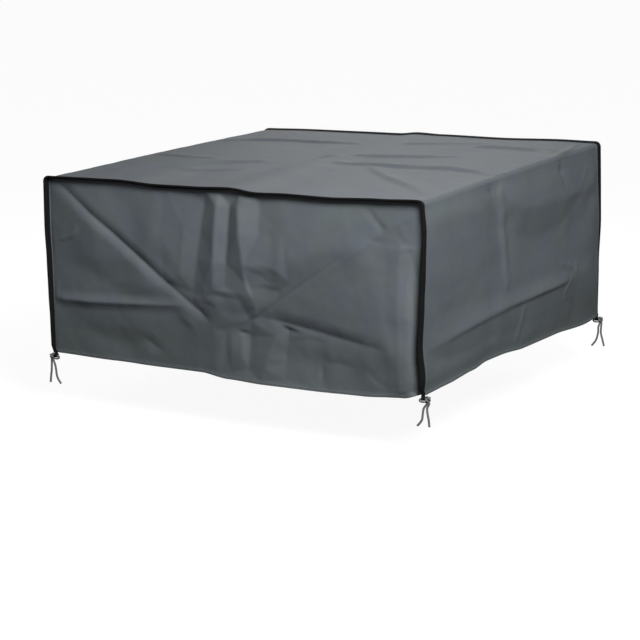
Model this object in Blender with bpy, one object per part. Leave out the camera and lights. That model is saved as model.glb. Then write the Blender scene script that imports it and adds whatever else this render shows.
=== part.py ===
"""Square patio furniture cover, as it hangs over a low table (the table is left out).

Blender 4.5, metres, +Z up.  The front panel faces -Y, and the origin is on the
underside of the cloth at the middle of the top, where the furniture carries it.
Tables are in millimetres and are turned into metres by MM where they are used.

    blender --background --python part.py
"""
import math
from collections import namedtuple

import bmesh
import bpy
from mathutils import Vector

MM = 0.001

# ---------------------------------------------------------------- driving sizes
EDGE_RADIUS = 0.009           # the two top edges that have no seam

CLOTH = 0.0012                # coated polyester with its turned hems
TAPE = 0.0010                 # binding tape
SEAM_GAP = 0.0005             # air between the layers of a bound seam
ALLOWANCE = 0.0185            # cloth edges inside the binding, from the seam outward
TAPE_START = 0.0045           # where the binding's two edges lie, from the seam
TAPE_FOLD = 0.0190            # where the binding starts to turn over the cloth edges
TAPER_FROM = 0.95             # down a side seam, where the bound edge starts to narrow
TAPER_CUT = 0.0120            # how much narrower it is where it ends at the hem

WRAP_BACK = 0.0010            # how far behind the seam the wrap turns where it leans most
FULL_LEAN = 20                # degrees; from this lean on it turns that far back

CLOTH_OFFSET = SEAM_GAP / 2 + CLOTH / 2
TAPE_OFFSET = SEAM_GAP / 2 + CLOTH + SEAM_GAP + TAPE / 2

CORD_RADIUS = 0.0029
KNOT_SIDES = 10
NECK_RADIUS = 0.0027          # the cord where it passes through the loop
CORD_CLEARANCE = 0.0005       # between a knot and the ends that hang from it
CORD_SHIFT = 0.0005           # the ends leave a knot this far towards its loop
# The knot's outline (mm): along its axis towards the loop, and radius.  The axis goes
# on from there through the loop as the neck.
KNOT_OUTLINE = [(-7.8, 1.0), (-6.4, 4.0), (-2.8, 6.4), (1.2, 6.7), (4.6, 5.2), (6.8, 2.8)]
KNOT_RADIUS = 0.0067
# The turn of cord on the far side of the loop (mm): from the loop's edge, and radius.
TURN_OUTLINE = [(1.0, 2.7), (2.0, 3.6), (4.2, 3.4), (5.4, 0.8)]

# ------------------------------------------------------------------ the corners
# Where the seams would meet at each corner if they were sharp (mm): x and y, the
# height of the top seam, then x, y and height at the hem.  No two are alike: cloth.
Corner = namedtuple("Corner", "x y top hem_x hem_y hem")
CORNERS = {
    "front_left":  Corner(-569, -571, -13, -564, -567, -501),
    "front_right": Corner(566, -567, 2, 569, -565, -490),
    "back_right":  Corner(565, 567, 20, 580, 570, -492),
    "back_left":   Corner(-561, 569, -4, -565, 568, -497),
}

# -------------------------------------------------------------------- the seams
# A row is a place along one stretch of a seam (0 to 1, top edge from left to
# right, side edges from top to hem): how far the seam strays upward or sideways
# (rise) and forward (out) from the straight line in mm, and how far the bound
# edge leans in degrees: 0 stands straight out of the panel, 90 lies in its plane
# pointing away from it, and a negative lean folds it back over the panel.
SeamRow = namedtuple("SeamRow", "along rise out lean")
SEAMS = {
    ("front", "left"): [
        SeamRow(0.00, 0, 0, 14), SeamRow(0.26, 0, 2, 14), SeamRow(0.45, -3, 3, 11),
        SeamRow(0.64, -3, 3, 6), SeamRow(0.80, -2, 2, -2), SeamRow(1.00, 0, 0, -6)],
    ("front", "top"): [
        SeamRow(0.00, 0, 0, 14), SeamRow(0.14, 2, 3, 14), SeamRow(0.20, 1, 2, 19),
        SeamRow(0.31, -7, -1, 24), SeamRow(0.41, -6, -3, 22), SeamRow(0.51, 0, -2, 14),
        SeamRow(0.58, -7, -2, 10), SeamRow(0.66, -5, 1, 12), SeamRow(0.77, -6, 2, 8),
        SeamRow(0.90, -2, 1, 10), SeamRow(1.00, 0, 0, 14)],
    ("front", "right"): [
        SeamRow(0.00, 0, 0, 14), SeamRow(0.13, 7, 2, 9), SeamRow(0.36, 7, 3, -5),
        SeamRow(0.51, 4, 3, -6), SeamRow(0.74, -1, 2, -8), SeamRow(0.91, 8, 2, -18),
        SeamRow(1.00, 3, 0, -18)],
    ("back", "left"): [
        SeamRow(0.00, 0, 0, 10), SeamRow(0.45, 4, 3, 12), SeamRow(1.00, 0, 0, -10)],
    ("back", "top"): [
        SeamRow(0.00, 0, 0, 10), SeamRow(0.13, 2, 2, 9), SeamRow(0.31, 1, 1, 11),
        SeamRow(0.42, 0, 0, 13), SeamRow(0.475, 5, 2, 12), SeamRow(0.55, 3, 1, 9),
        SeamRow(0.74, 0, 0, 10), SeamRow(0.90, 2, 1, 12), SeamRow(1.00, 0, 0, 14)],
    ("back", "right"): [
        SeamRow(0.00, 0, 0, 14), SeamRow(0.15, 1, 1, 10), SeamRow(0.40, 5, 2, -4),
        SeamRow(0.70, 2, 2, -18), SeamRow(1.00, 0, 0, -24)],
}

# --------------------------------------------------------------------- the hems
# How far a hem strays from the straight line between its corners (mm): along it
# (0 to 1, from left to right or from front to back), up, and outward.
HemRow = namedtuple("HemRow", "along rise out")
HEMS = {
    "front": [
        HemRow(0.00, 0, 0), HemRow(0.18, -3, 6), HemRow(0.33, -5, 10), HemRow(0.42, -5, 12),
        HemRow(0.50, -15, 16), HemRow(0.60, -19, 17), HemRow(0.73, -20, 16),
        HemRow(0.85, -19, 12), HemRow(0.95, -13, 5), HemRow(1.00, 0, 0)],
    "right": [
        HemRow(0.00, 0, 0), HemRow(0.10, 3, 2), HemRow(0.24, 11, 5), HemRow(0.32, 18, 3),
        HemRow(0.385, 20, 8), HemRow(0.51, 13, 12), HemRow(0.70, 9, 7), HemRow(0.90, -3, 3),
        HemRow(1.00, 0, 0)],
    "back": [
        HemRow(0.00, 0, 0), HemRow(0.30, -9, 10), HemRow(0.55, -14, 15), HemRow(0.80, -7, 8),
        HemRow(1.00, 0, 0)],
    "left": [
        HemRow(0.00, 0, 0), HemRow(0.25, 7, 6), HemRow(0.50, 11, 12), HemRow(0.80, 4, 7),
        HemRow(1.00, 0, 0)],
}

# -------------------------------------------------------------------- the folds
# A fold runs between two places on a panel laid flat (mm).  Height is how far it
# stands out of the cloth (negative for a hollow) and width how far it spreads to
# each side.  On the front and back panels a place is (x, z); on the strip that
# makes the top and sides it is (girth, y), girth counted from the middle of the
# top over the right edge and down, and negative to the left.
Fold = namedtuple("Fold", "a0 b0 a1 b1 height width")
FRONT_FOLDS = [
    # the long crease that drags in from the top left corner
    Fold(-551, -33, -376, -151, 8, 26), Fold(-376, -151, -168, -299, 10, 26),
    Fold(-168, -299, -47, -382, 7, 24),
    # the one from the top right corner
    Fold(544, -19, 398, -117, 7, 24), Fold(398, -117, 206, -248, 9, 26),
    Fold(206, -248, 40, -370, 8, 26),
    # long low creases near mid height, left and right
    Fold(-550, -351, -115, -329, 5, 22), Fold(95, -338, 277, -357, -5, 24),
    Fold(277, -357, 465, -386, -5, 24),
    # upright pleats in the middle, hanging from the top seam
    Fold(-55, -25, -75, -270, -7, 17), Fold(-14, -20, -34, -300, 8, 15),
    Fold(23, -20, 34, -245, -7, 15), Fold(52, -20, 88, -262, 8, 20),
    # where the pleats end
    Fold(-36, -290, 68, -298, 5, 18), Fold(68, -298, 83, -334, 5, 16),
    # hollows and dents
    Fold(480, -130, 480, -370, -9, 36), Fold(-443, -214, -359, -268, -7, 48),
    Fold(-343, -415, -192, -452, -6, 34), Fold(423, -20, 455, -70, -6, 20),
    Fold(355, -50, 432, -92, 5, 18), Fold(68, -225, 171, -212, -4, 24),
    # the loose lower edge
    Fold(-20, -386, -24, -500, 6, 18), Fold(8, -395, 10, -470, -4, 16),
    Fold(155, -351, 137, -408, 7, 20), Fold(137, -408, 103, -500, 8, 22),
    Fold(178, -420, 182, -480, -5, 20), Fold(277, -430, 280, -490, -5, 18),
    Fold(426, -446, 469, -480, -8, 28), Fold(350, -440, 350, -500, 5, 26),
]
WRAP_FOLDS = [
    # top: creases drag from the middle to the corners
    Fold(44, -76, 199, -60, 5, 24), Fold(199, -60, 332, -32, 6, 24),
    Fold(332, -32, 465, -71, 6, 24), Fold(465, -71, 575, -190, 7, 24),
    Fold(181, -139, 362, -321, 5, 26), Fold(362, -321, 520, -500, 4, 26),
    Fold(31, 85, 293, 182, 5, 24), Fold(34, -58, 55, 328, 4, 22),
    Fold(262, 390, 410, 370, 5, 24), Fold(410, 370, 540, 290, 6, 24),
    Fold(-501, 264, -137, 355, 4, 26), Fold(-501, -109, -317, -82, 4, 24),
    Fold(-441, -368, -284, -137, 5, 26), Fold(-284, -137, -150, -90, 4, 24),
    Fold(-226, -409, -161, -236, 4, 22), Fold(-70, -389, -135, 19, 5, 24),
    Fold(-250, 60, 120, -20, -5, 60), Fold(330, 250, 330, -250, -4, 90),
    # right side: three crests fall from the top edge
    Fold(585, -140, 690, -104, 10, 20), Fold(690, -104, 900, -76, 9, 20),
    Fold(575, -205, 640, -145, 6, 16), Fold(570, 270, 620, 312, 9, 20),
    Fold(620, 312, 665, 336, 8, 20), Fold(740, 302, 800, 345, 6, 20),
    Fold(580, 470, 690, 415, -7, 24), Fold(660, -320, 860, -330, -5, 60),
    Fold(680, 110, 860, 120, -6, 70),
    # right side: the long crease above the hem band
    Fold(948, -549, 930, -189, 6, 20), Fold(930, -189, 928, 221, 6, 20),
    Fold(928, 221, 921, 351, 7, 20), Fold(921, 351, 965, 331, 6, 18),
    Fold(874, 400, 915, 410, 5, 16), Fold(915, 410, 938, 560, 6, 18),
    Fold(947, 48, 1050, 5, 6, 18), Fold(955, -175, 1010, -154, -5, 18),
    # left side, hidden: two soft crests and a drag line
    Fold(-590, -180, -930, -120, 8, 26), Fold(-590, 240, -880, 300, 7, 26),
    Fold(-620, 500, -900, 380, 5, 24), Fold(-700, 60, -860, 80, -6, 60),
]
BACK_FOLDS = [
    Fold(-540, -30, -260, -230, 7, 28), Fold(-260, -230, -60, -360, 6, 28),
    Fold(545, -25, 300, -200, 7, 28), Fold(300, -200, 90, -330, 6, 28),
    Fold(-40, -25, -60, -240, -6, 18), Fold(10, -25, 0, -280, 7, 18),
    Fold(-350, -420, -350, -500, -6, 34), Fold(120, -380, 140, -500, 7, 26),
    Fold(420, -330, 430, -480, -6, 36),
]
FADE = 0.024                  # folds die away over this width beside a bound seam
HEM_FLARE = 1.5               # a side's outward bow gathers towards its hem by this power
TOP_CROWN = 3 * MM            # the top stands this much above its seams in the middle

# ---------------------------------------------------------- where cloth is bent
# Places along each stretch where a row of points is worth having (0 to 1).
SIDE_STEPS = [0.07, 0.15, 0.23, 0.31, 0.39, 0.47, 0.55, 0.63, 0.71, 0.79, 0.87, 0.94, 1.0]
TOP_STEPS = [0.035, 0.08, 0.125, 0.17, 0.22, 0.27, 0.32, 0.365, 0.40, 0.43, 0.45, 0.469,
             0.488, 0.506, 0.523, 0.538, 0.553, 0.578, 0.61, 0.65, 0.695, 0.74, 0.785,
             0.83, 0.875, 0.92, 0.96]
DEPTH_STEPS = [0.05, 0.11, 0.17, 0.24, 0.30, 0.345, 0.38, 0.41, 0.44, 0.50, 0.56, 0.62,
               0.67, 0.72, 0.76, 0.80, 0.85, 0.90, 0.95]
ARC_STEPS = 4

# ------------------------------------------------------------------ corner ties
# Where the middle of the black loop hangs from the end of its bound seam, which way
# and how far the knot lies from there (the loop's hole faces it), and the routes of
# the two free ends from the knot, all in mm.  The routes are the photograph's.
Tie = namedtuple("Tie", "loop knot route_a route_b")
TIES = {
    "front_left": Tie(
        (4, 0, -7.2), (-12.3, -1),
        [(0, 0, -13), (0, 0, -25), (-1, 0, -42), (-4, 1, -58), (-6, 1, -76)],
        [(0, 0, -13), (5, 0, -25), (8, 0, -40), (9, 1, -54), (14, 1, -66), (22, 2, -77)]),
    "front_right": Tie(
        (0, 1, -7.2), (11.5, 4.2),
        [(0, 0, -13), (-8, -1, -25), (-10, -2, -39), (-12, -2, -54), (-17, -3, -63), (-24, -4, -71)],
        [(0, 0, -13), (-5, 0, -24), (-4, 0, -38), (-1, 1, -55), (1, 1, -72)]),
    "back_right": Tie(
        (-1, 1, -7.2), (11, 5.5),
        [(0, 0, -13), (-3, -1, -25), (-3, -2, -41), (-7, -3, -60), (-13, -4, -71), (-21, -5, -81)],
        [(0, 0, -13), (-1, 0, -25), (-1, 0, -42), (4, 1, -62), (9, 1, -80)]),
    "back_left": Tie(
        (-3, 2, -7.2), (-11, -6),
        [(0, 0, -13), (-1, 0, -25), (-4, 1, -40), (-8, 3, -56), (-11, 4, -73)],
        [(0, 0, -13), (2, 0, -25), (4, 2, -40), (5, 5, -56), (9, 8, -72)]),
}
LOOP_HALF = Vector((0.0052, 0.0054))      # inside half width and height of a loop
LOOP_THICK = 0.0012
LOOP_WIDTH = 0.0100
LOOP_SIDES = 12

# -------------------------------------------------------------------- materials
Finish = namedtuple("Finish", "colour roughness")
CLOTH_FINISH = Finish((0.085, 0.092, 0.100), 0.62)
TAPE_FINISH = Finish((0.012, 0.012, 0.013), 0.75)
CORD_FINISH = Finish((0.120, 0.126, 0.132), 0.80)


def clear_scene():
    for obj in list(bpy.data.objects):
        bpy.data.objects.remove(obj, do_unlink=True)


def make_material(name, finish):
    material = bpy.data.materials.new(name)
    material.use_nodes = True
    shader = material.node_tree.nodes["Principled BSDF"]
    shader.inputs["Base Color"].default_value = (*finish.colour, 1.0)
    shader.inputs["Roughness"].default_value = finish.roughness
    shader.inputs["Metallic"].default_value = 0.0
    return material


# ---------------------------------------------------------------- small helpers
def smooth(t):
    t = min(max(t, 0.0), 1.0)
    return t * t * (3.0 - 2.0 * t)


def at(rows, along, column):
    """Value of a column at a place along a table of rows, eased between rows."""
    for before, after in zip(rows, rows[1:]):
        if along <= after.along:
            t = (along - before.along) / (after.along - before.along)
            start, end = getattr(before, column), getattr(after, column)
            return start + (end - start) * smooth(t)
    return getattr(rows[-1], column)


def relief(folds, a, b):
    """How far the cloth stands out at a flat place (metres)."""
    total = 0.0
    for fold in folds:
        run_a, run_b = (fold.a1 - fold.a0) * MM, (fold.b1 - fold.b0) * MM
        from_a, from_b = a - fold.a0 * MM, b - fold.b0 * MM
        length = math.hypot(run_a, run_b)
        along = (from_a * run_a + from_b * run_b) / length
        beyond = max(-along, along - length, 0.0)
        across = abs(from_a * run_b - from_b * run_a) / length
        reach = math.hypot(across, beyond) / (fold.width * MM)
        if reach < 3.0:
            total += fold.height * MM * math.exp(-reach * reach)
    return total


# ------------------------------------------------------------ the bound seams
class Section:
    """One cross-section of a bound seam: its root, and the way its edge stands."""

    def __init__(self, stretch, root, out, away, lean, cut=0.0):
        self.stretch = stretch                        # "left", "top", "right"
        self.root = root
        self.cut = cut
        self.lean = lean
        angle = math.radians(lean)
        self.out = out * math.cos(angle) + away * math.sin(angle)
        self.wrap_way = away * math.cos(angle) - out * math.sin(angle)

    def point(self, outward, sideways):
        """A point this far out along the standing edge and towards the wrap."""
        return self.root + self.out * outward + self.wrap_way * sideways

    def outer(self, outward, sideways):
        """The same near the free edge, which narrows where it meets the hem."""
        return self.point(outward - self.cut, sideways)

    def panel_edge(self):
        """Where the end panel meets the seam, in the panel's own plane."""
        return self.point(-CLOTH_OFFSET * math.tan(math.radians(self.lean)), -CLOTH_OFFSET)

    def wrap_edge(self):
        """Where the wrap meets the seam, clear of a panel that is folded back."""
        share = min(max(-self.lean / FULL_LEAN, 0.0), 1.0)
        return self.point(-WRAP_BACK * share, CLOTH_OFFSET)


def seam_sections(face):
    """Sections of one face's seam: up the left edge, across, down the right."""
    out = Vector((0, -1, 0)) if face == "front" else Vector((0, 1, 0))
    left, right = CORNERS[face + "_left"], CORNERS[face + "_right"]
    top_left = Vector((left.x, left.y, left.top)) * MM
    top_right = Vector((right.x, right.y, right.top)) * MM
    hem_left = Vector((left.hem_x, left.hem_y, left.hem)) * MM
    hem_right = Vector((right.hem_x, right.hem_y, right.hem)) * MM
    down = Vector((0, 0, -EDGE_RADIUS))
    inward = Vector((EDGE_RADIUS, 0, 0))

    def stray(stretch, along, away):
        rows = SEAMS[face, stretch]
        return away * at(rows, along, "rise") * MM + out * at(rows, along, "out") * MM

    def side(stretch, start, end, away):
        made = []
        for along in [0.0] + SIDE_STEPS:
            root = start.lerp(end, along) + stray(stretch, along, away)
            lean = at(SEAMS[face, stretch], along, "lean")
            cut = TAPER_CUT * max(along - TAPER_FROM, 0.0) / (1.0 - TAPER_FROM)
            made.append(Section(stretch, root, out, away, lean, cut))
        return made

    def arc(stretch, corner, middle, start_angle, lean_from, lean_to):
        made = []
        for step in range(1, ARC_STEPS):
            share = step / ARC_STEPS
            angle = start_angle - share * math.pi / 2
            away = Vector((math.cos(angle), 0, math.sin(angle)))
            lean = lean_from + (lean_to - lean_from) * share
            made.append(Section(stretch, corner + middle + away * EDGE_RADIUS, out, away, lean))
        return made

    leans = {stretch: SEAMS[face, stretch] for stretch in ("left", "top", "right")}
    left_up = side("left", top_left + down, hem_left, Vector((-1, 0, 0)))[::-1]
    left_arc = arc("top", top_left, inward + down, math.pi,
                   leans["left"][0].lean, leans["top"][0].lean)
    across = []
    start, end = top_left + inward, top_right - inward
    for along in [0.0] + TOP_STEPS + [1.0]:
        root = start.lerp(end, along) + stray("top", along, Vector((0, 0, 1)))
        lean = at(leans["top"], along, "lean")
        across.append(Section("top", root, out, Vector((0, 0, 1)), lean))
    right_arc = arc("top", top_right, down - inward, math.pi / 2,
                    leans["top"][-1].lean, leans["right"][0].lean)
    right_down = side("right", top_right + down, hem_right, Vector((1, 0, 0)))
    return left_up + left_arc + across + right_arc + right_down


def rest_on_origin(seams):
    """Shift the seams so that the underside of the top's middle is at z = 0."""
    middle = [sections[len(sections) // 2].root.z for sections in seams.values()]
    height = sum(middle) / 2 + CLOTH_OFFSET + TOP_CROWN + relief(WRAP_FOLDS, 0.0, 0.0)
    for section in seams["front"] + seams["back"]:
        section.root.z += CLOTH / 2 - height


SIDE_ROWS = len(SIDE_STEPS) + 1           # sections on one side edge
CORNER_ROW = SIDE_ROWS + ARC_STEPS // 2 - 1   # the one in the middle of the left arc


# ------------------------------------------------------------------ cloth solids
def sheet_solid(name, vertices, squares, thickness, material):
    """A closed sheet of even thickness about its middle surface.

    A square is split from its first corner to its third.  Beside a seam that is
    always from the seam outward along its run, so that the layers of a twisted
    seam, which bend the same way, keep their distance.
    """
    faces = []
    for a, b, c, d in squares:
        faces += [(a, b, c), (a, c, d)]
    mesh = bpy.data.meshes.new(name)
    mesh.from_pydata(vertices, [], faces)
    obj = bpy.data.objects.new(name, mesh)
    bpy.context.collection.objects.link(obj)
    mesh.materials.append(material)
    solidify = obj.modifiers.new("Thickness", "SOLIDIFY")
    solidify.thickness = thickness
    solidify.offset = 0.0
    solidify.use_even_offset = True
    solidify.use_quality_normals = True
    return obj


def grid_squares(rows, columns, turned=()):
    """The squares of a grid; those of a turned column start at their far side."""
    squares = []
    for i in range(rows - 1):
        for j in range(columns - 1):
            low, high = i * columns + j, (i + 1) * columns + j
            if j in turned:
                squares.append((low + 1, high + 1, high, low))
            else:
                squares.append((low, low + 1, high + 1, high))
    return squares


def wrap_panel(front, back, material):
    """Left side, top and right side in one strip, with its edges turned outward."""
    girth = [0.0]
    for before, after in zip(front, front[1:]):
        girth.append(girth[-1] + (after.root - before.root).length)
    middle = girth[-1] / 2
    grid = []
    for k, (near, far) in enumerate(zip(front, back)):
        start, end = near.wrap_edge(), far.wrap_edge()
        away = (near.wrap_way + far.wrap_way)
        away = Vector((away.x, 0, away.z)).normalized()
        row = [near.outer(ALLOWANCE, CLOTH_OFFSET), start]
        for along in DEPTH_STEPS:
            point = start.lerp(end, along)
            seam_side = min(along, 1 - along) * (end - start).length
            height = relief(WRAP_FOLDS, girth[k] - middle, point.y) * smooth(seam_side / FADE)
            if near.stretch == "top":
                height += TOP_CROWN * math.sin(math.pi * along)
            else:
                down = side_share(k, len(front))
                point.z += at(HEMS[near.stretch], along, "rise") * MM * down
                height += at(HEMS[near.stretch], along, "out") * MM * down ** HEM_FLARE
            row.append(point + away * height)
        row += [end, far.outer(ALLOWANCE, CLOTH_OFFSET)]
        grid.append(row)
    vertices = [point for row in grid for point in row]
    squares = grid_squares(len(grid), len(grid[0]), turned=(0,))
    return sheet_solid("wrap_panel", vertices, squares, CLOTH, material)


def side_share(k, count):
    """How far down a side edge a section lies: 0 at the top, 1 at the hem."""
    from_end = min(k, count - 1 - k)
    return ([0.0] + SIDE_STEPS)[::-1][from_end]


def end_panel(face, sections, folds, material):
    """Front or back panel: filled between its seam and its hem, edges turned out."""
    out = Vector((0, -1, 0)) if face == "front" else Vector((0, 1, 0))
    rim = [section.panel_edge() for section in sections]
    last = len(rim) - 1 - CORNER_ROW
    left, top, right = rim[CORNER_ROW::-1], rim[CORNER_ROW:last + 1], rim[last:]
    share_across = [(p.x - top[0].x) / (top[-1].x - top[0].x) for p in top]
    share_down = [(p.z - left[0].z) / (left[-1].z - left[0].z) for p in left]
    grid = []
    for j, down in enumerate(share_down):
        row = []
        for i, across in enumerate(share_across):
            hem = left[-1].lerp(right[-1], across)
            hem.z += at(HEMS[face], across, "rise") * MM
            hem += out * at(HEMS[face], across, "out") * MM
            edges = (top[i].lerp(hem, down) + left[j].lerp(right[j], across))
            corners = top[0].lerp(top[-1], across).lerp(left[-1].lerp(right[-1], across), down)
            point = edges - corners
            to_seam = min(point.x - left[j].x, right[j].x - point.x, top[i].z - point.z)
            point += out * relief(folds, point.x, point.z) * smooth(to_seam / FADE)
            row.append(point)
        grid.append(row)
    # the turned-out edge: one more ring of points outside the seam
    lips = [section.outer(ALLOWANCE, -CLOTH_OFFSET) for section in sections]
    lip_left, lip_top, lip_right = lips[CORNER_ROW::-1], lips[CORNER_ROW:last + 1], lips[last:]
    return panel_with_lip(face + "_panel", grid, lip_left, lip_top, lip_right, material)


def panel_with_lip(name, grid, lip_left, lip_top, lip_right, material):
    """The grid, with one more ring of points round its three seamed edges."""
    rows, columns = len(grid), len(grid[0])
    vertices = [point for row in grid for point in row]
    # split the right half the other way, so that both long creases run along edges
    squares = grid_squares(rows, columns, turned=range(columns // 2, columns))
    rim = [j * columns for j in range(rows - 1, 0, -1)] + list(range(columns))
    rim += [j * columns + columns - 1 for j in range(1, rows)]
    ring = lip_left[:0:-1] + lip_top + lip_right[1:]
    start = len(vertices)
    for k in range(len(rim) - 1):
        squares.append((rim[k], start + k, start + k + 1, rim[k + 1]))
    return sheet_solid(name, vertices + ring, squares, CLOTH, material)


def binding(face, sections, material):
    """Black tape folded over the two cloth edges, all the way round the seam."""
    vertices = []
    for section in sections:
        vertices += [section.point(TAPE_START, TAPE_OFFSET),
                     section.outer(TAPE_FOLD, TAPE_OFFSET),
                     section.outer(TAPE_FOLD + TAPE_OFFSET, 0.0),
                     section.outer(TAPE_FOLD, -TAPE_OFFSET),
                     section.point(TAPE_START, -TAPE_OFFSET)]
    squares = grid_squares(len(sections), len(vertices) // len(sections), turned=(2, 3))
    return sheet_solid(face + "_binding", vertices, squares, TAPE, material)


# --------------------------------------------------------------------- the ties
def tie_loop(name, middle, hole, material):
    """A short ring of black tape that hangs from the end of a bound seam."""
    side = hole.cross(Vector((0, 0, 1))).normalized()
    up = Vector((0, 0, 1))
    mesh = bmesh.new()
    rings = []
    for step in range(LOOP_SIDES):
        angle = math.tau * (step + 0.5) / LOOP_SIDES
        ring = []
        for grow, shift in ((0, -1), (LOOP_THICK, -1), (LOOP_THICK, 1), (0, 1)):
            across = side * math.cos(angle) * (LOOP_HALF.x + grow)
            tall = up * math.sin(angle) * (LOOP_HALF.y + grow)
            ring.append(mesh.verts.new(middle + across + tall + hole * shift * LOOP_WIDTH / 2))
        rings.append(ring)
    for before, after in zip(rings, rings[1:] + rings[:1]):
        for i in range(4):
            mesh.faces.new((before[i], before[i - 1], after[i - 1], after[i]))
    bmesh.ops.recalc_face_normals(mesh, faces=mesh.faces)
    return object_from_bmesh(name, mesh, material)


def object_from_bmesh(name, mesh, material):
    data = bpy.data.meshes.new(name)
    mesh.to_mesh(data)
    mesh.free()
    data.materials.append(material)
    obj = bpy.data.objects.new(name, data)
    bpy.context.collection.objects.link(obj)
    return obj


def rounded_route(points, per_span=2):
    """Points of a smooth curve through the given ones (Catmull-Rom)."""
    padded = [points[0] * 2 - points[1]] + points + [points[-1] * 2 - points[-2]]
    route = []
    for p0, p1, p2, p3 in zip(padded, padded[1:], padded[2:], padded[3:]):
        for step in range(per_span):
            t = step / per_span
            route.append(0.5 * (2 * p1 + (p2 - p0) * t
                                + (2 * p0 - 5 * p1 + 4 * p2 - p3) * t ** 2
                                + (3 * p1 - p0 - 3 * p2 + p3) * t ** 3))
    return route + [points[-1]]


def tube(name, points, radius, material):
    curve = bpy.data.curves.new(name, "CURVE")
    curve.dimensions = "3D"
    curve.bevel_depth = radius
    curve.bevel_resolution = 2
    curve.render_resolution_u = 0
    curve.use_fill_caps = True
    spline = curve.splines.new("POLY")
    spline.points.add(len(points) - 1)
    for target, point in zip(spline.points, points):
        target.co = (*point, 1.0)
    curve.materials.append(material)
    obj = bpy.data.objects.new(name, curve)
    bpy.context.collection.objects.link(obj)
    return obj


def tie_knot(name, seat, knot, material):
    """The knot's lump, its neck through the loop, and the turn of cord beyond it.

    It is turned about the line from the knot to the seat of its neck in the loop.
    """
    reach = (seat - knot).length
    beyond = reach + LOOP_WIDTH / 2
    profile = [(along * MM, radius * MM) for along, radius in KNOT_OUTLINE]
    profile.append((reach, NECK_RADIUS))
    profile += [(beyond + along * MM, radius * MM) for along, radius in TURN_OUTLINE]
    turn = (seat - knot).to_track_quat("Z", "Y")
    lump = bmesh.new()
    rings = []
    for along, radius in profile:
        ring = []
        for step in range(KNOT_SIDES):
            angle = math.tau * step / KNOT_SIDES
            around = Vector((math.cos(angle) * radius, math.sin(angle) * radius, along))
            ring.append(lump.verts.new(knot + turn @ around))
        rings.append(ring)
    for before, after in zip(rings, rings[1:]):
        for i in range(KNOT_SIDES):
            lump.faces.new((before[i - 1], before[i], after[i], after[i - 1]))
    lump.faces.new(rings[0][::-1])
    lump.faces.new(rings[-1])
    bmesh.ops.recalc_face_normals(lump, faces=lump.faces)
    return object_from_bmesh(name, lump, material)


def corner_tie(corner, seam_end, tape, cord):
    tie = TIES[corner]
    loop = seam_end + Vector(tie.loop) * MM
    seat = Vector((0, 0, -(LOOP_HALF.y - NECK_RADIUS - CORD_CLEARANCE)))
    sideways = Vector((*tie.knot, 0)) * MM
    hole = sideways.normalized()
    knot = loop + sideways + seat
    tie_loop("tie_loop_" + corner, loop, hole, tape)
    tie_knot("tie_knot_" + corner, loop + seat, knot, cord)
    drop = Vector((0, 0, -(KNOT_RADIUS + CORD_CLEARANCE)))
    drop -= hole * CORD_SHIFT
    apart = Vector((CORD_RADIUS + CORD_CLEARANCE / 2, 0, 0))
    for letter, route, shift in (("a", tie.route_a, -apart), ("b", tie.route_b, apart)):
        points = [knot + shift + drop] + [knot + shift + Vector(place) * MM for place in route]
        tube("cord_end_{}_{}".format(corner, letter), rounded_route(points), CORD_RADIUS, cord)


def build():
    clear_scene()
    cloth = make_material("coated_polyester", CLOTH_FINISH)
    tape = make_material("binding_tape", TAPE_FINISH)
    cord = make_material("tie_cord", CORD_FINISH)
    seams = {face: seam_sections(face) for face in ("front", "back")}
    rest_on_origin(seams)
    wrap_panel(seams["front"], seams["back"], cloth)
    end_panel("front", seams["front"], FRONT_FOLDS, cloth)
    end_panel("back", seams["back"], BACK_FOLDS, cloth)
    for face, sections in seams.items():
        binding(face, sections, tape)
        for side, section in (("left", sections[0]), ("right", sections[-1])):
            seam_end = section.outer(TAPE_FOLD, 0.0).lerp(section.point(TAPE_START, 0.0), 0.5)
            corner_tie("{}_{}".format(face, side), seam_end, tape, cord)


build()
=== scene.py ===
"""Looks of the square patio furniture cover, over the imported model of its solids.

Blender 4.5, metres, +Z up, the front panel faces -Y.  The tables are in millimetres
and are turned into metres by MM where they are used.  They repeat the lines of the
seams, hems and ties of the part, and add the folds as the photograph shows them.
"""
import math
from collections import namedtuple

import bmesh
import bpy
import numpy as np
from mathutils import Matrix, Vector, noise
from mathutils.geometry import delaunay_2d_cdt


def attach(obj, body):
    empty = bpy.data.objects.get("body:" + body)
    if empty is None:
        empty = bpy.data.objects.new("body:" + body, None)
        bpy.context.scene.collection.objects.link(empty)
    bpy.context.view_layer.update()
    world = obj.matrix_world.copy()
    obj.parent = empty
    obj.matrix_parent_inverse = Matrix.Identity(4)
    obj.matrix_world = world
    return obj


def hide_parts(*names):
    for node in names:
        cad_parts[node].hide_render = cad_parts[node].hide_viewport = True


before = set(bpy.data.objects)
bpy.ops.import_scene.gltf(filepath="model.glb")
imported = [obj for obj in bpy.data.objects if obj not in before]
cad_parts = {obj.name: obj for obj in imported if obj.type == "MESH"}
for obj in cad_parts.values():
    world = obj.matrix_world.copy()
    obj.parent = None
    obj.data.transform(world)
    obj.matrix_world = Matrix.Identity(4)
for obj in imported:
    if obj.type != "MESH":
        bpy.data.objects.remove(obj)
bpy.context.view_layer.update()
MM = 0.001


def placed(name, data):
    """An object in the scene for a mesh, a lamp or a camera."""
    made = bpy.data.objects.new(name, data)
    bpy.context.scene.collection.objects.link(made)
    return made


# ------------------------------------------------------------------- the camera
# The cover is seen from its front right, a little from above, through a long lens
# that stands about six metres away and is not turned about its own axis.
VIEW_TURN = math.radians(28.96)
VIEW_RISE = math.radians(11.78)
VIEW_PLACE = (2.9551, -5.4169, 0.8278)
VIEW_LENS = 123.75

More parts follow.
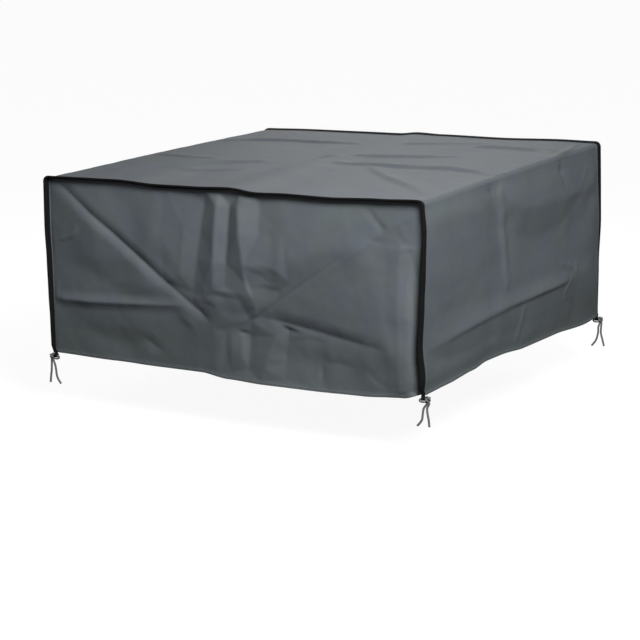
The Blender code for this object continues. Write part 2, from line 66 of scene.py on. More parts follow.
towards_viewer = Vector((math.sin(VIEW_TURN) * math.cos(VIEW_RISE),
                         -math.cos(VIEW_TURN) * math.cos(VIEW_RISE),
                         math.sin(VIEW_RISE)))
view_right = Vector((math.cos(VIEW_TURN), math.sin(VIEW_TURN), 0))
view_up = towards_viewer.cross(view_right)
camera_data = bpy.data.cameras.new("camera")
camera_data.lens = VIEW_LENS
camera = placed("camera", camera_data)
turned = Matrix((view_right, view_up, towards_viewer)).transposed().to_4x4()
camera.matrix_world = Matrix.Translation(VIEW_PLACE) @ turned
bpy.context.scene.camera = camera

# -------------------------------------------------------- where the seams run
# The front and back panels are sewn to the long strip that makes the top and both
# sides.  Both cloth edges stand outward, and a black tape is folded over them, so
# a bound edge about 21 mm wide runs up, across and down each of the two faces.
Corner = namedtuple("Corner", "x y top hem_x hem_y hem")
CORNERS = {
    "front_left":  Corner(-569, -571, -13, -564, -567, -501),
    "front_right": Corner(566, -567, 2, 569, -565, -490),
    "back_right":  Corner(565, 567, 20, 580, 570, -492),
    "back_left":   Corner(-561, 569, -4, -565, 568, -497),
}
# Along each stretch (0 to 1): how far the seam strays upward or sideways and forward
# from the straight line, and how many degrees its edge leans away from the panel.
SeamRow = namedtuple("SeamRow", "along rise out lean")
SEAMS = {key: [SeamRow(*row) for row in rows] for key, rows in {
    ("front", "left"): [
        (0.00, 0, 0, 14), (0.26, 0, 2, 14), (0.45, -3, 3, 11), (0.64, -3, 3, 6), (0.80, -2, 2, -2),
        (1.00, 0, 0, -6)],
    ("front", "top"): [
        (0.00, 0, 0, 14), (0.14, 2, 3, 14), (0.20, 1, 2, 19), (0.31, -7, -1, 24),
        (0.41, -6, -3, 22), (0.51, 0, -2, 14), (0.58, -7, -2, 10), (0.66, -5, 1, 12),
        (0.77, -6, 2, 8), (0.90, -2, 1, 10), (1.00, 0, 0, 14)],
    ("front", "right"): [
        (0.00, 0, 0, 14), (0.13, 7, 2, 9), (0.36, 7, 3, -5), (0.51, 4, 3, -6), (0.74, -1, 2, -8),
        (0.91, 8, 2, -18), (1.00, 3, 0, -18)],
    ("back", "left"): [
        (0.00, 0, 0, 10), (0.45, 4, 3, 12), (1.00, 0, 0, -10)],
    ("back", "top"): [
        (0.00, 0, 0, 10), (0.13, 2, 2, 9), (0.31, 1, 1, 11), (0.42, 0, 0, 13), (0.475, 5, 2, 12),
        (0.55, 3, 1, 9), (0.74, 0, 0, 10), (0.90, 2, 1, 12), (1.00, 0, 0, 14)],
    ("back", "right"): [
        (0.00, 0, 0, 14), (0.15, 1, 1, 10), (0.40, 5, 2, -4), (0.70, 2, 2, -18), (1.00, 0, 0, -24)],
}.items()}
EDGE_RADIUS = 0.009           # the two top edges that have no seam
CLOTH = 0.0012                # how thick the cloth is
TAPE = 0.0010                 # and the tape
SEAM_GAP = 0.0005             # air between the layers of a bound seam
ALLOWANCE = 0.0185            # cloth edges inside the binding, from the seam outward
TAPE_START = 0.0045           # where the binding's two edges lie, from the seam
TAPE_FOLD = 0.0190            # where the binding starts to turn over the cloth edges
TAPER_FROM = 0.95             # down a side seam, where the bound edge starts to narrow
TAPER_CUT = 0.0120            # how much narrower it is where it ends at the hem
WRAP_BACK = 0.0010            # how far behind the seam the strip turns where it leans most
FULL_LEAN = 20                # degrees; from this lean on it turns that far back
CLOTH_OFFSET = SEAM_GAP / 2 + CLOTH / 2
TAPE_OFFSET = SEAM_GAP / 2 + CLOTH + SEAM_GAP + TAPE / 2
REST_DROP = 0.002011          # how far the seams sink until the cloth rests on the origin
ARC_STEPS = 6                 # steps round each upper corner of a seam


def eased(t):
    t = np.clip(t, 0.0, 1.0)
    return t * t * (3.0 - 2.0 * t)


def along_rows(rows, along, column):
    """Values of a column at places along a table of rows, eased between rows."""
    places = np.array([row.along for row in rows])
    values = np.array([getattr(row, column) for row in rows], float)
    k = np.clip(np.searchsorted(places, along) - 1, 0, len(rows) - 2)
    t = (along - places[k]) / (places[k + 1] - places[k])
    return values[k] + (values[k + 1] - values[k]) * eased(t)


def between(start, end, share):
    """Places between two places or two rows of places."""
    return start + (end - start) * share


def column(values):
    """Numbers as a column, so that they multiply a row of vectors."""
    return np.broadcast_to(values, np.shape(values) or (1,))[:, None]


def lengths_along(route):
    """How far along a route each of its places is."""
    steps = np.linalg.norm(np.diff(route, axis=0), axis=1)
    return np.concatenate([[0.0], np.cumsum(steps)])


class Seam:
    """A bound seam, up the left edge, across the top and down the right edge."""

    def __init__(self, face, left_steps, top_steps, right_steps):
        self.face = face
        self.forward = np.array([0.0, -1.0 if face == "front" else 1.0, 0.0])
        self.roots, self.aways, self.leans, self.cuts = [], [], [], []
        left, right = CORNERS[face + "_left"], CORNERS[face + "_right"]
        top_left = np.array([left.x, left.y, left.top]) * MM
        top_right = np.array([right.x, right.y, right.top]) * MM
        hem_left = np.array([left.hem_x, left.hem_y, left.hem]) * MM
        hem_right = np.array([right.hem_x, right.hem_y, right.hem]) * MM
        down, inward = np.array([0, 0, -EDGE_RADIUS]), np.array([EDGE_RADIUS, 0, 0])
        self.stretch("left", top_left + down, hem_left, left_steps[::-1], (-1, 0, 0))
        self.corner(top_left + inward + down, math.pi, "left", "top")
        self.stretch("top", top_left + inward, top_right - inward, top_steps, (0, 0, 1))
        self.corner(top_right - inward + down, math.pi / 2, "top", "right")
        self.stretch("right", top_right + down, hem_right, right_steps, (1, 0, 0))
        self.root = np.concatenate(self.roots) - np.array([0, 0, REST_DROP])
        lean = np.radians(column(np.concatenate(self.leans)))
        away = np.concatenate(self.aways)
        self.lean, self.cut = lean[:, 0], np.concatenate(self.cuts)
        self.out = self.forward * np.cos(lean) + away * np.sin(lean)
        self.wrap_way = away * np.cos(lean) - self.forward * np.sin(lean)
        self.first = len(left_steps) + ARC_STEPS // 2 - 1
        self.last = len(self.root) - len(right_steps) - ARC_STEPS // 2

    def add(self, roots, away, leans, cuts):
        self.roots.append(roots)
        self.aways.append(np.broadcast_to(away, roots.shape))
        self.leans.append(leans)
        self.cuts.append(cuts)

    def stretch(self, name, start, end, along, away):
        rows, away = SEAMS[self.face, name], np.array(away, float)
        strays = away * column(along_rows(rows, along, "rise"))
        strays = strays + self.forward * column(along_rows(rows, along, "out"))
        cuts = np.zeros(len(along))
        if name != "top":
            cuts = TAPER_CUT * np.maximum(along - TAPER_FROM, 0) / (1 - TAPER_FROM)
        roots = between(start, end, column(along)) + strays * MM
        self.add(roots, away, along_rows(rows, along, "lean"), cuts)

    def corner(self, middle, start_angle, before, after):
        shares = np.arange(1, ARC_STEPS) / ARC_STEPS
        angles = start_angle - shares * math.pi / 2
        away = np.stack([np.cos(angles), np.zeros(len(angles)), np.sin(angles)], axis=1)
        lean_from = SEAMS[self.face, before][0 if before == "left" else -1].lean
        leans = between(lean_from, SEAMS[self.face, after][0].lean, shares)
        self.add(middle + away * EDGE_RADIUS, away, leans, np.zeros(len(angles)))

    def point(self, outward, sideways):
        """Places this far out along the standing edge and towards the strip."""
        return self.root + self.out * column(outward) + self.wrap_way * column(sideways)

    def outer(self, outward, sideways):
        """The same near the free edge, which narrows where it meets the hem."""
        return self.point(outward - self.cut, sideways)

    def panel_edge(self):
        return self.point(-CLOTH_OFFSET * np.tan(self.lean), -CLOTH_OFFSET)

    def wrap_edge(self):
        share = np.clip(-np.degrees(self.lean) / FULL_LEAN, 0, 1)
        return self.point(-WRAP_BACK * share, CLOTH_OFFSET)


SIDE_PLACES = np.linspace(0.0, 1.0, 132)
TOP_PLACES = np.linspace(0.0, 1.0, 300)
seams = {face: Seam(face, SIDE_PLACES, TOP_PLACES, SIDE_PLACES) for face in ("front", "back")}

# ------------------------------------------------- the free ends of the ties
# At each lower corner a braided grey cord is knotted into a loop of tape, and its
# two ends hang free.  They are cut and sealed with heat, and about 6 mm thick.
# A loop's middle is placed from the end of its seam, the knot from the loop, and the
# two ends run from the knot.
Tie = namedtuple("Tie", "loop knot route_a route_b")
TIES = {
    "front_left": Tie(
        (4, 0, -7.2), (-12.3, -1),
        [(0, 0, -13), (0, 0, -25), (-1, 0, -42), (-4, 1, -58), (-6, 1, -76)],
        [(0, 0, -13), (5, 0, -25), (8, 0, -40), (9, 1, -54), (14, 1, -66), (22, 2, -77)]),
    "front_right": Tie(
        (0, 1, -7.2), (11.5, 4.2),
        [(0, 0, -13), (-8, -1, -25), (-10, -2, -39), (-12, -2, -54), (-17, -3, -63),
         (-24, -4, -71)],
        [(0, 0, -13), (-5, 0, -24), (-4, 0, -38), (-1, 1, -55), (1, 1, -72)]),
    "back_right": Tie(
        (-1, 1, -7.2), (11, 5.5),
        [(0, 0, -13), (-3, -1, -25), (-3, -2, -41), (-7, -3, -60), (-13, -4, -71),
         (-21, -5, -81)],
        [(0, 0, -13), (-1, 0, -25), (-1, 0, -42), (4, 1, -62), (9, 1, -80)]),
    "back_left": Tie(
        (-3, 2, -7.2), (-11, -6),
        [(0, 0, -13), (-1, 0, -25), (-4, 1, -40), (-8, 3, -56), (-11, 4, -73)],
        [(0, 0, -13), (2, 0, -25), (4, 2, -40), (5, 5, -56), (9, 8, -72)]),
}
CORD_RADIUS = 0.0029
NECK_RADIUS = 0.0027          # the cord where it passes through the loop
KNOT_RADIUS = 0.0067
CORD_CLEARANCE = 0.0005       # between a knot and the ends that hang from it
CORD_SHIFT = 0.0005           # the ends leave a knot this far towards its loop
LOOP_HALF = Vector((0.0052, 0.0054))      # inside half width and height of a loop
CORD_SIDES = 20
BRAID_PITCH = 0.0042          # along the cord, from one crossing of strands to the next
BRAID_STRANDS = 4             # strands that wind round the cord each way
ROUTE_STEPS = 6               # short steps in each span of a cord's route
NO_CORD_WAY = (0.31, 0.94, 0.12)          # a direction that no cord sets out along
# How a tube closes at its ends: how far past the end, as a share of END_LENGTH, and
# how wide it still is, as a share of its radius.
END_LENGTH = 0.0008
END_SHAPE = ((0.6, 0.85), (0.9, 0.55), (1.0, 0.003))
END_JOINED = 2e-5             # points of a closed end that lie closer become one


class Number:
    """A number that varies over a surface, for sums that read as sums."""

    def __init__(self, finish, socket):
        self.finish = finish
        self.socket = socket

    def maths(self, operation, first, second=0.0):
        inputs = {"0": first, "1": second}
        made = self.finish.node("Math", {"operation": operation}, **inputs)
        return Number(self.finish, made.outputs[0])

    def __add__(self, other):
        return self.maths("ADD", self, other)

    def __sub__(self, other):
        return self.maths("SUBTRACT", self, other)

    def __mul__(self, other):
        return self.maths("MULTIPLY", self, other)

    def sine(self):
        return self.maths("SINE", self)

    def rising(self, start, end):
        """0 up to start, 1 from end on, and eased between them."""
        inputs = {"1": start, "2": end}
        made = self.finish.node("MapRange", {"interpolation_type": "SMOOTHSTEP"},
                                Value=self, **inputs)
        return self.finish.number(made, "Result")


class Finish:
    """A material built from nodes round one Principled shader."""

    def __init__(self, name, roughness, specular=0.5):
        self.material = bpy.data.materials.new(name)
        self.material.use_nodes = True
        self.tree = self.material.node_tree
        self.shader = self.tree.nodes["Principled BSDF"]
        self.shader.inputs["Roughness"].default_value = roughness
        self.shader.inputs["Specular IOR Level"].default_value = specular

    def node(self, kind, settings=None, **sockets):
        """A node of this kind: its settings first, then its sockets' values or links."""
        made = self.tree.nodes.new("ShaderNode" + kind)
        for key, value in (settings or {}).items():
            setattr(made, key, value)
        for key, value in sockets.items():
            self.feed(self.socket_of(made, key), value)
        return made

    @staticmethod
    def socket_of(made, key):
        """An input socket, by its place or by its identifier."""
        if key.isdigit():
            return made.inputs[int(key)]
        return next(socket for socket in made.inputs if socket.identifier == key)

    def feed(self, socket, value):
        if isinstance(value, Number):
            value = value.socket
        if isinstance(value, bpy.types.NodeSocket):
            self.tree.links.new(value, socket)
        else:
            socket.default_value = value

    def number(self, made, output):
        return Number(self, made.outputs[output])

    def flat_place(self):
        """The two coordinates of the piece laid flat, in metres, from its UV map."""
        flat = self.node("UVMap", {"uv_map": "flat"})
        parts = self.node("SeparateXYZ", Vector=flat.outputs["UV"])
        return flat.outputs["UV"], self.number(parts, "X"), self.number(parts, "Y")

    def noise(self, place, scale, detail=2.0, roughness=0.5):
        made = self.node("TexNoise", Vector=place, Scale=scale, Detail=detail,
                         Roughness=roughness)
        return self.number(made, "Fac")

    def height(self):
        """How high a place is on the whole object, in metres."""
        place = self.node("TexCoord").outputs["Object"]
        return self.number(self.node("SeparateXYZ", Vector=place), "Z")

    def mixed(self, factor, first, second):
        """A colour between two colours."""
        first, second = ((*colour, 1.0) if isinstance(colour, tuple) else colour
                         for colour in (first, second))
        made = self.node("Mix", {"data_type": "RGBA"}, Factor_Float=factor,
                         A_Color=first, B_Color=second)
        return next(socket for socket in made.outputs if socket.identifier == "Result_Color")

    def shades(self, factor, dark, light):
        """Base colour between two colours."""
        self.feed(self.shader.inputs["Base Color"], self.mixed(factor, dark, light))

    def bumps(self, *layers):
        """Raised detail: pairs of a height from 0 to 1 and its size in metres."""
        normal = None
        for height, size in layers:
            made = self.node("Bump", Height=height, Distance=size)
            if normal is not None:
                self.feed(made.inputs["Normal"], normal)
            normal = made.outputs["Normal"]
        self.feed(self.shader.inputs["Normal"], normal)


def braided_cord():
    """Grey cord braided from strands that wind round it both ways."""
    finish = Finish("tie_cord", roughness=0.78)
    place, along, around = finish.flat_place()
    turn_along = along * (math.tau / BRAID_PITCH)
    turn_around = around * (BRAID_STRANDS / CORD_RADIUS)
    strands = (turn_along + turn_around).sine() * (turn_along - turn_around).sine()
    braid = strands * 0.5 + 0.5
    fuzz = finish.noise(place, 1800.0)
    finish.shades(braid * 0.7 + fuzz * 0.3, (0.052, 0.055, 0.060), (0.165, 0.172, 0.182))
    finish.bumps((braid, 0.0005), (fuzz, 0.0001))
    return finish.material


def rounded_route(points):
    """Points of a smooth curve through the given ones."""
    padded = [points[0] * 2 - points[1]] + points + [points[-1] * 2 - points[-2]]
    route = []
    for p0, p1, p2, p3 in zip(padded, padded[1:], padded[2:], padded[3:]):
        for step in range(ROUTE_STEPS):
            t = step / ROUTE_STEPS
            route.append(0.5 * (2 * p1 + (p2 - p0) * t
                                + (2 * p0 - 5 * p1 + 4 * p2 - p3) * t ** 2
                                + (3 * p1 - p0 - 3 * p2 + p3) * t ** 3))
    return route + [points[-1]]


def tube_rings(route, radii, sides):
    """Rings of points round a route, with how far along and around each one is."""
    route = np.array([tuple(point) for point in route])
    ways = np.gradient(route, axis=0)
    ways /= np.linalg.norm(ways, axis=1)[:, None]
    across = np.cross(ways[0], NO_CORD_WAY)
    angles = np.linspace(0.0, math.tau, sides + 1)
    points, flats = [], []
    for place, way, radius, length in zip(route, ways, radii, lengths_along(route)):
        across = across - way * across.dot(way)
        across /= np.linalg.norm(across)
        other = np.cross(way, across)
        ring = np.outer(np.cos(angles), across) + np.outer(np.sin(angles), other)
        points.append(place + ring * radius)
        flats.append(np.stack([np.full(len(angles), length), angles * radius], axis=1))
    return np.array(points), np.array(flats)


def grid_squares(rows, columns):
    """The four corners of each square in a grid of points."""
    corner = np.arange((rows - 1) * columns).reshape(rows - 1, columns)[:, :-1].ravel()
    return np.stack([corner, corner + columns, corner + columns + 1, corner + 1], axis=1)


def piece_of(name, points, squares, flats, material):
    """A smooth piece from points and squares, with its flat places as a UV map."""
    mesh = bpy.data.meshes.new(name)
    mesh.from_pydata(points.tolist(), [], squares.tolist())
    corners = np.empty(len(mesh.loops), int)
    mesh.loops.foreach_get("vertex_index", corners)
    mesh.uv_layers.new(name="flat").data.foreach_set("uv", flats[corners].ravel())
    mesh.materials.append(material)
    mesh.shade_smooth()
    return placed(name, mesh)


def grid_piece(name, points, flats, material):
    """A smooth piece from a grid of points."""
    squares = grid_squares(*points.shape[:2])
    return piece_of(name, points.reshape(-1, 3), squares, flats.reshape(-1, 2), material)


def mended(piece, apart, filled=False):
    """The piece with points closer than this made one, and its faces turned outward."""
    mesh = bmesh.new()
    mesh.from_mesh(piece.data)
    bmesh.ops.remove_doubles(mesh, verts=mesh.verts, dist=apart)
    if filled:
        bmesh.ops.holes_fill(mesh, edges=[edge for edge in mesh.edges if edge.is_boundary])
    bmesh.ops.recalc_face_normals(mesh, faces=mesh.faces)
    mesh.to_mesh(piece.data)
    mesh.free()
    return piece


def closed_tube(name, route, radius, sides, material):
    """A round tube with rounded ends that are closed."""
    first, last = ([route[end] + (route[end] - route[inner]).normalized() * END_LENGTH * share
                    for share, _ in END_SHAPE] for end, inner in ((0, 1), (-1, -2)))
    narrower = [radius * width for _, width in END_SHAPE]
    radii = narrower[::-1] + [radius] * len(route) + narrower
    points, flats = tube_rings(first[::-1] + route + last, radii, sides)
    return mended(grid_piece(name, points, flats, material), END_JOINED)


def handed_in(piece, stands_for=None):
    """The piece rides on the part's one body, and stands for a solid if one is named."""
    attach(piece, "root")
    if stands_for:
        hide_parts(stands_for)


cord_finish = braided_cord()
# the middle of a loop, the way through its hole, where the cord rests in it, and the
# middle of the knot
Hung = namedtuple("Hung", "loop hole seat knot")
hung = {}
for corner, tie in TIES.items():
    seam = seams[corner.split("_")[0]]
    end = 0 if corner.endswith("left") else -1
    seam_end = (seam.outer(TAPE_FOLD, 0.0)[end] + seam.point(TAPE_START, 0.0)[end]) / 2
    loop = Vector(seam_end) + Vector(tie.loop) * MM
    seat = Vector((0, 0, -(LOOP_HALF.y - NECK_RADIUS - CORD_CLEARANCE)))
    sideways = Vector((*tie.knot, 0)) * MM
    hung[corner] = Hung(loop, sideways.normalized(), loop + seat, loop + sideways + seat)

for corner, tie in TIES.items():
    knot = hung[corner].knot
    drop = Vector((0, 0, -(KNOT_RADIUS + CORD_CLEARANCE))) - hung[corner].hole * CORD_SHIFT
    apart = Vector((CORD_RADIUS + CORD_CLEARANCE / 2, 0, 0))
    for letter, places, shift in (("a", tie.route_a, -apart), ("b", tie.route_b, apart)):
        points = [knot + shift + drop]
        points += [knot + shift + Vector(place) * MM for place in places]
        route = rounded_route(points)
        name = "cord_end_{}_{}".format(corner, letter)
        cord = closed_tube("dressed_" + name, route, CORD_RADIUS, CORD_SIDES, cord_finish)
        length = sum((b - a).length for a, b in zip(route, route[1:]))
        handed_in(cord, name)

# ------------------------------------------------------------- knots of the ties
# The cord goes through its loop of tape and back under it, and is pulled tight in
# a plain knot about 14 mm across beside the loop.
KNOT_REACH = 0.0041           # from the knot's middle to the middle of its strands
KNOT_LONG = 0.0044            # the same along its axis
STRAND_RADIUS = 0.0026
STRAND_SIDES = 14
NECK_SIDES = 12
NECK_NARROW = 0.9             # the strand under the loop is this much of the others
RETURN_DROP = 0.0098          # how far under the loop's middle the cord comes back
BEYOND_LOOP = 0.0080          # how far past the loop's middle it turns
KNOT_STEPS = 96


def knotted_route(place, turn):
    """The closed path of a plain knot, three lobes round its axis."""
    route = []
    for step in range(KNOT_STEPS + 1):
        t = math.tau * step / KNOT_STEPS
        swing = KNOT_REACH * 1.5 * (0.62 + 0.38 * math.cos(3 * t))
        around = Vector((math.cos(2 * t) * swing, math.sin(2 * t) * swing,
                         math.sin(3 * t) * KNOT_LONG))
        route.append(place + turn @ around)
    return route


def joined(name, pieces, material):
    """Several pieces as one mesh."""
    merged = bmesh.new()
    for piece in pieces:
        merged.from_mesh(piece.data)
        bpy.data.objects.remove(piece, do_unlink=True)
    mesh = bpy.data.meshes.new(name)
    merged.to_mesh(mesh)
    merged.free()
    mesh.materials.append(material)
    mesh.shade_smooth()
    return placed(name, mesh)


for corner in TIES:
    loop, hole, seat, knot = hung[corner]
    turned_knot = knotted_route(knot, hole.to_track_quat("Z", "Y"))
    lobes = closed_tube("lobes", turned_knot, STRAND_RADIUS, STRAND_SIDES, cord_finish)
    under = Vector((0, 0, -RETURN_DROP))
    # from the knot through the loop, round its far side and back under it
    bight = rounded_route([
        knot, seat + hole * 0.002, seat - hole * BEYOND_LOOP * 0.8,
        loop - hole * BEYOND_LOOP * 1.15 + under * 0.62, loop - hole * 0.004 + under,
        loop + hole * 0.006 + under * 0.98, knot + Vector((0, 0, -0.003))])
    through = closed_tube("through", bight, STRAND_RADIUS * NECK_NARROW, NECK_SIDES, cord_finish)
    tied = joined("dressed_tie_knot_" + corner, [lobes, through], cord_finish)
    handed_in(tied, "tie_knot_" + corner)

# ------------------------------------------------------------- loops of the ties
# A short piece of the black tape, doubled and sewn into the end of the bound seam,
# so that it hangs there as a small loop.
LOOP_WIDTH = 0.0100
LOOP_THICK = 0.0012
LOOP_PINCH = 0.35             # how much narrower a loop gets at its top
LOOP_STEPS = 40
TAIL_HEIGHTS = (0.0, 0.004, 0.009)        # above the loop, where its ends go into the seam
TAIL_THICK = LOOP_THICK * 1.8
TAPE_RIB = 0.0011             # from one rib of the woven tape to the next
TAPE_YARN = TAPE_RIB * 0.6    # the same across the tape
RIBBON_JOINED = 1e-6          # points of a ribbon that lie closer become one


def woven_tape():
    """Black tape with fine ribs across it, worn a little greyer in places."""
    finish = Finish("binding_tape", roughness=0.82, specular=0.12)
    place, along, across = finish.flat_place()
    ribs = (along * (math.tau / TAPE_RIB)).sine() * 0.5 + 0.5
    yarn = (across * (math.tau / TAPE_YARN)).sine() * 0.5 + 0.5
    worn = finish.noise(place, 60.0, 3.0)
    finish.shades(ribs * 0.35 + worn * 0.65, (0.0020, 0.0020, 0.0023), (0.0085, 0.0086, 0.0092))
    finish.bumps((ribs * yarn, 0.00022), (worn, 0.0004))
    return finish.material


def doubled_ribbon(name, route, facings, width, thickness, material):
    """A flat ribbon with rounded edges along a route, facing the given ways."""
    half, depth = width / 2, thickness / 2
    outline = [(-half, 0), (-half + depth, depth), (0, depth), (half - depth, depth),
               (half, 0), (half - depth, -depth), (0, -depth), (-half + depth, -depth),
               (-half, 0)]
    route = np.array([tuple(point) for point in route])
    ways = np.gradient(route, axis=0)
    ways /= np.linalg.norm(ways, axis=1)[:, None]
    facings = np.array([tuple(facing) for facing in facings])
    sides = np.cross(ways, facings)
    points = np.stack([route + sides * a + facings * b for a, b in outline], axis=1)
    flats = [[(length, a + b) for a, b in outline] for length in lengths_along(route)]
    ribbon = grid_piece(name, points, np.array(flats), material)
    return mended(ribbon, RIBBON_JOINED, filled=True)


tape_finish = woven_tape()
for corner in TIES:
    loop, hole = hung[corner].loop, hung[corner].hole
    up = Vector((0, 0, 1))
    side = hole.cross(up).normalized()
    route, facings = [], []
    reach = LOOP_HALF + Vector((LOOP_THICK, LOOP_THICK)) / 2
    for step in range(LOOP_STEPS + 1):
        angle = math.pi / 2 + math.tau * step / LOOP_STEPS
        narrow = 1.0 - LOOP_PINCH * max(math.sin(angle), 0.0) ** 2
        sideways, upward = side * math.cos(angle) * narrow, up * math.sin(angle)
        route.append(loop + sideways * reach.x + upward * reach.y)
        facings.append((sideways + upward).normalized())
    ring = doubled_ribbon("ring", route, facings, LOOP_WIDTH, LOOP_THICK, tape_finish)
    places = [loop + up * (reach.y + height) for height in TAIL_HEIGHTS]
    tail = doubled_ribbon("tail", places, [side] * len(places), LOOP_WIDTH, TAIL_THICK,
                          tape_finish)
    band = joined("dressed_tie_loop_" + corner, [ring, tail], tape_finish)
    handed_in(band, "tie_loop_" + corner)

# ---------------------------------------------------------------- front panel
# One rectangle of slate grey coated polyester, sewn to the strip on three edges and
# turned up 9 mm at its hem.  Drag creases come in from both upper corners, and a few
# soft pleats hang from the middle of its top seam.
# Along each hem (0 to 1): how far it strays upward and outward from a straight line.
HemRow = namedtuple("HemRow", "along rise out")
HEMS = {side: [HemRow(*row) for row in rows] for side, rows in {
    "front": [
        (0.00, 0, 0), (0.18, -3, 6), (0.33, -5, 10), (0.42, -5, 12), (0.50, -15, 16),
        (0.60, -19, 17), (0.73, -20, 16), (0.85, -19, 12), (0.95, -13, 5), (1.00, 0, 0)],
    "right": [
        (0.00, 0, 0), (0.10, 3, 2), (0.24, 11, 5), (0.32, 18, 3), (0.385, 20, 8), (0.51, 13, 12),
        (0.70, 9, 7), (0.90, -3, 3), (1.00, 0, 0)],
    "back": [
        (0.00, 0, 0), (0.30, -9, 10), (0.55, -14, 15), (0.80, -7, 8), (1.00, 0, 0)],
    "left": [
        (0.00, 0, 0), (0.25, 7, 6), (0.50, 11, 12), (0.80, 4, 7), (1.00, 0, 0)],
}.items()}
HEM_TURN = 0.009              # how far up the turned hem reaches
HEM_STEP = 0.0009             # how far its doubled cloth stands out
HEM_SLOPE = 0.002             # it comes to stand out so far over this height
HEM_SEWN = 0.0070             # its stitches run this far above the edge
SEAM_FADE = 0.009             # folds die away over this width beside a bound seam
LIPS = (0.0022, 0.0080, ALLOWANCE)        # rows of the cloth edge that stands in the binding
CREST = 2.0                   # mm; how sharply a crease bends at its line
SHARP_FOLD = math.radians(60)             # cloth folded more than this shows an edge

# A crease runs through places on the panel laid flat, each with its height (mm;
# negative for a furrow).  It spreads left and right of its run by so many mm, and
# bend says how it falls away: 1 straight, like a pressed facet, 2 in a soft curve.
Crease = namedtuple("Crease", "points left right bend")
# A swell is a rounded rise or a hollow: its middle, its reach both ways, its height
# (mm), and how many degrees its long side is turned.
Swell = namedtuple("Swell", "a b reach_a reach_b height turn")
# Crinkles are small uneven waves of the cloth: their size and height (mm).
Crinkles = namedtuple("Crinkles", "size height seed")


def alone(*places):
    """Places of a facet table that lie on no line."""
    return [[place] for place in places]


# A facet table is a set of lines along folds, each place with its height (mm).  The
# cloth runs flat between neighbouring lines, in triangles.
FRONT_FACETS = [
    [(-568, -12, 0), (-400, -12, 0), (-230, -12, 0), (-72, -12, 0), (0, -12, 0), (75, -12, 0),
     (210, -12, 0), (380, -12, 0), (480, -12, 0), (560, -12, 0)],
    [(-570, -120, 0), (-570, -240, 0), (-570, -350, 0), (-570, -430, 0), (-570, -505, 0)],
    [(566, -110, 0), (566, -200, 0), (566, -300, 0), (566, -400, 0), (566, -500, 0)],
    [(-570, -505, 0), (-480, -505, -0.4), (-380, -505, -0.3), (-280, -505, -0.1), (-190, -505, -1.7),
     (-100, -505, -0.1), (-10, -505, -0.7), (60, -508, -0.8), (150, -510, -0.6), (290, -510, -1.1),
     (420, -508, -1.4), (510, -505, 0.8), (566, -500, 0)],
    [(-568, -12, 0), (-502, -58, 7.1), (-437, -105, 14.9), (-372, -150, 10.7), (-279, -213, 11.2),
     (-186, -278, 10.1), (-120, -322, 9.7), (-42, -374, 4.8)],
    [(-570, -346, 0), (-450, -343, 1.4), (-300, -335, 1.4), (-190, -329, 1.4), (-120, -322, 9.7)],
    [(560, -12, 0), (456, -87, 5.5), (388, -133, 17), (321, -180, 11.9), (254, -226, 8),
     (186, -275, 2.5), (93, -340, -2.8), (40, -374, -6.1)],
    [(93, -340, -2.8), (168, -348, -3.8), (261, -362, -6.8), (370, -377, 3.7), (475, -388, 12.3)],
    [(-42, -374, 4.8), (40, -374, -6.1)],
] + alone(
    (-300, -90, 1.9), (-400, -60, 5.6), (-230, -150, 14.5), (-150, -80, -0.1), (-150, -220, 6.8),
    (250, -90, 11.1), (340, -60, 7.9), (200, -180, 21.1), (140, -90, 11.4), (300, -140, 18.9),
    (130, -250, 12.9), (-510, -150, 6.7), (-490, -240, 0.9), (-400, -220, 11), (-370, -290, 0.2),
    (-250, -285, 14.2), (20, -300, 21.4), (330, -290, 4.2), (430, -180, 7.9), (460, -280, 14.1),
    (250, -300, 1.3), (380, -230, 7.7), (505, -150, 5.2), (505, -330, 6), (505, -430, 6.3),
    (-480, -420, -3.7), (-330, -400, -1.1), (-330, -455, -10.3), (-220, -425, -1.1), (-100, -430, 0.3),
    (-20, -430, 0), (80, -430, -4.2), (160, -430, -9.2), (250, -440, -13.8), (350, -440, -6.9),
    (430, -440, 2.2))
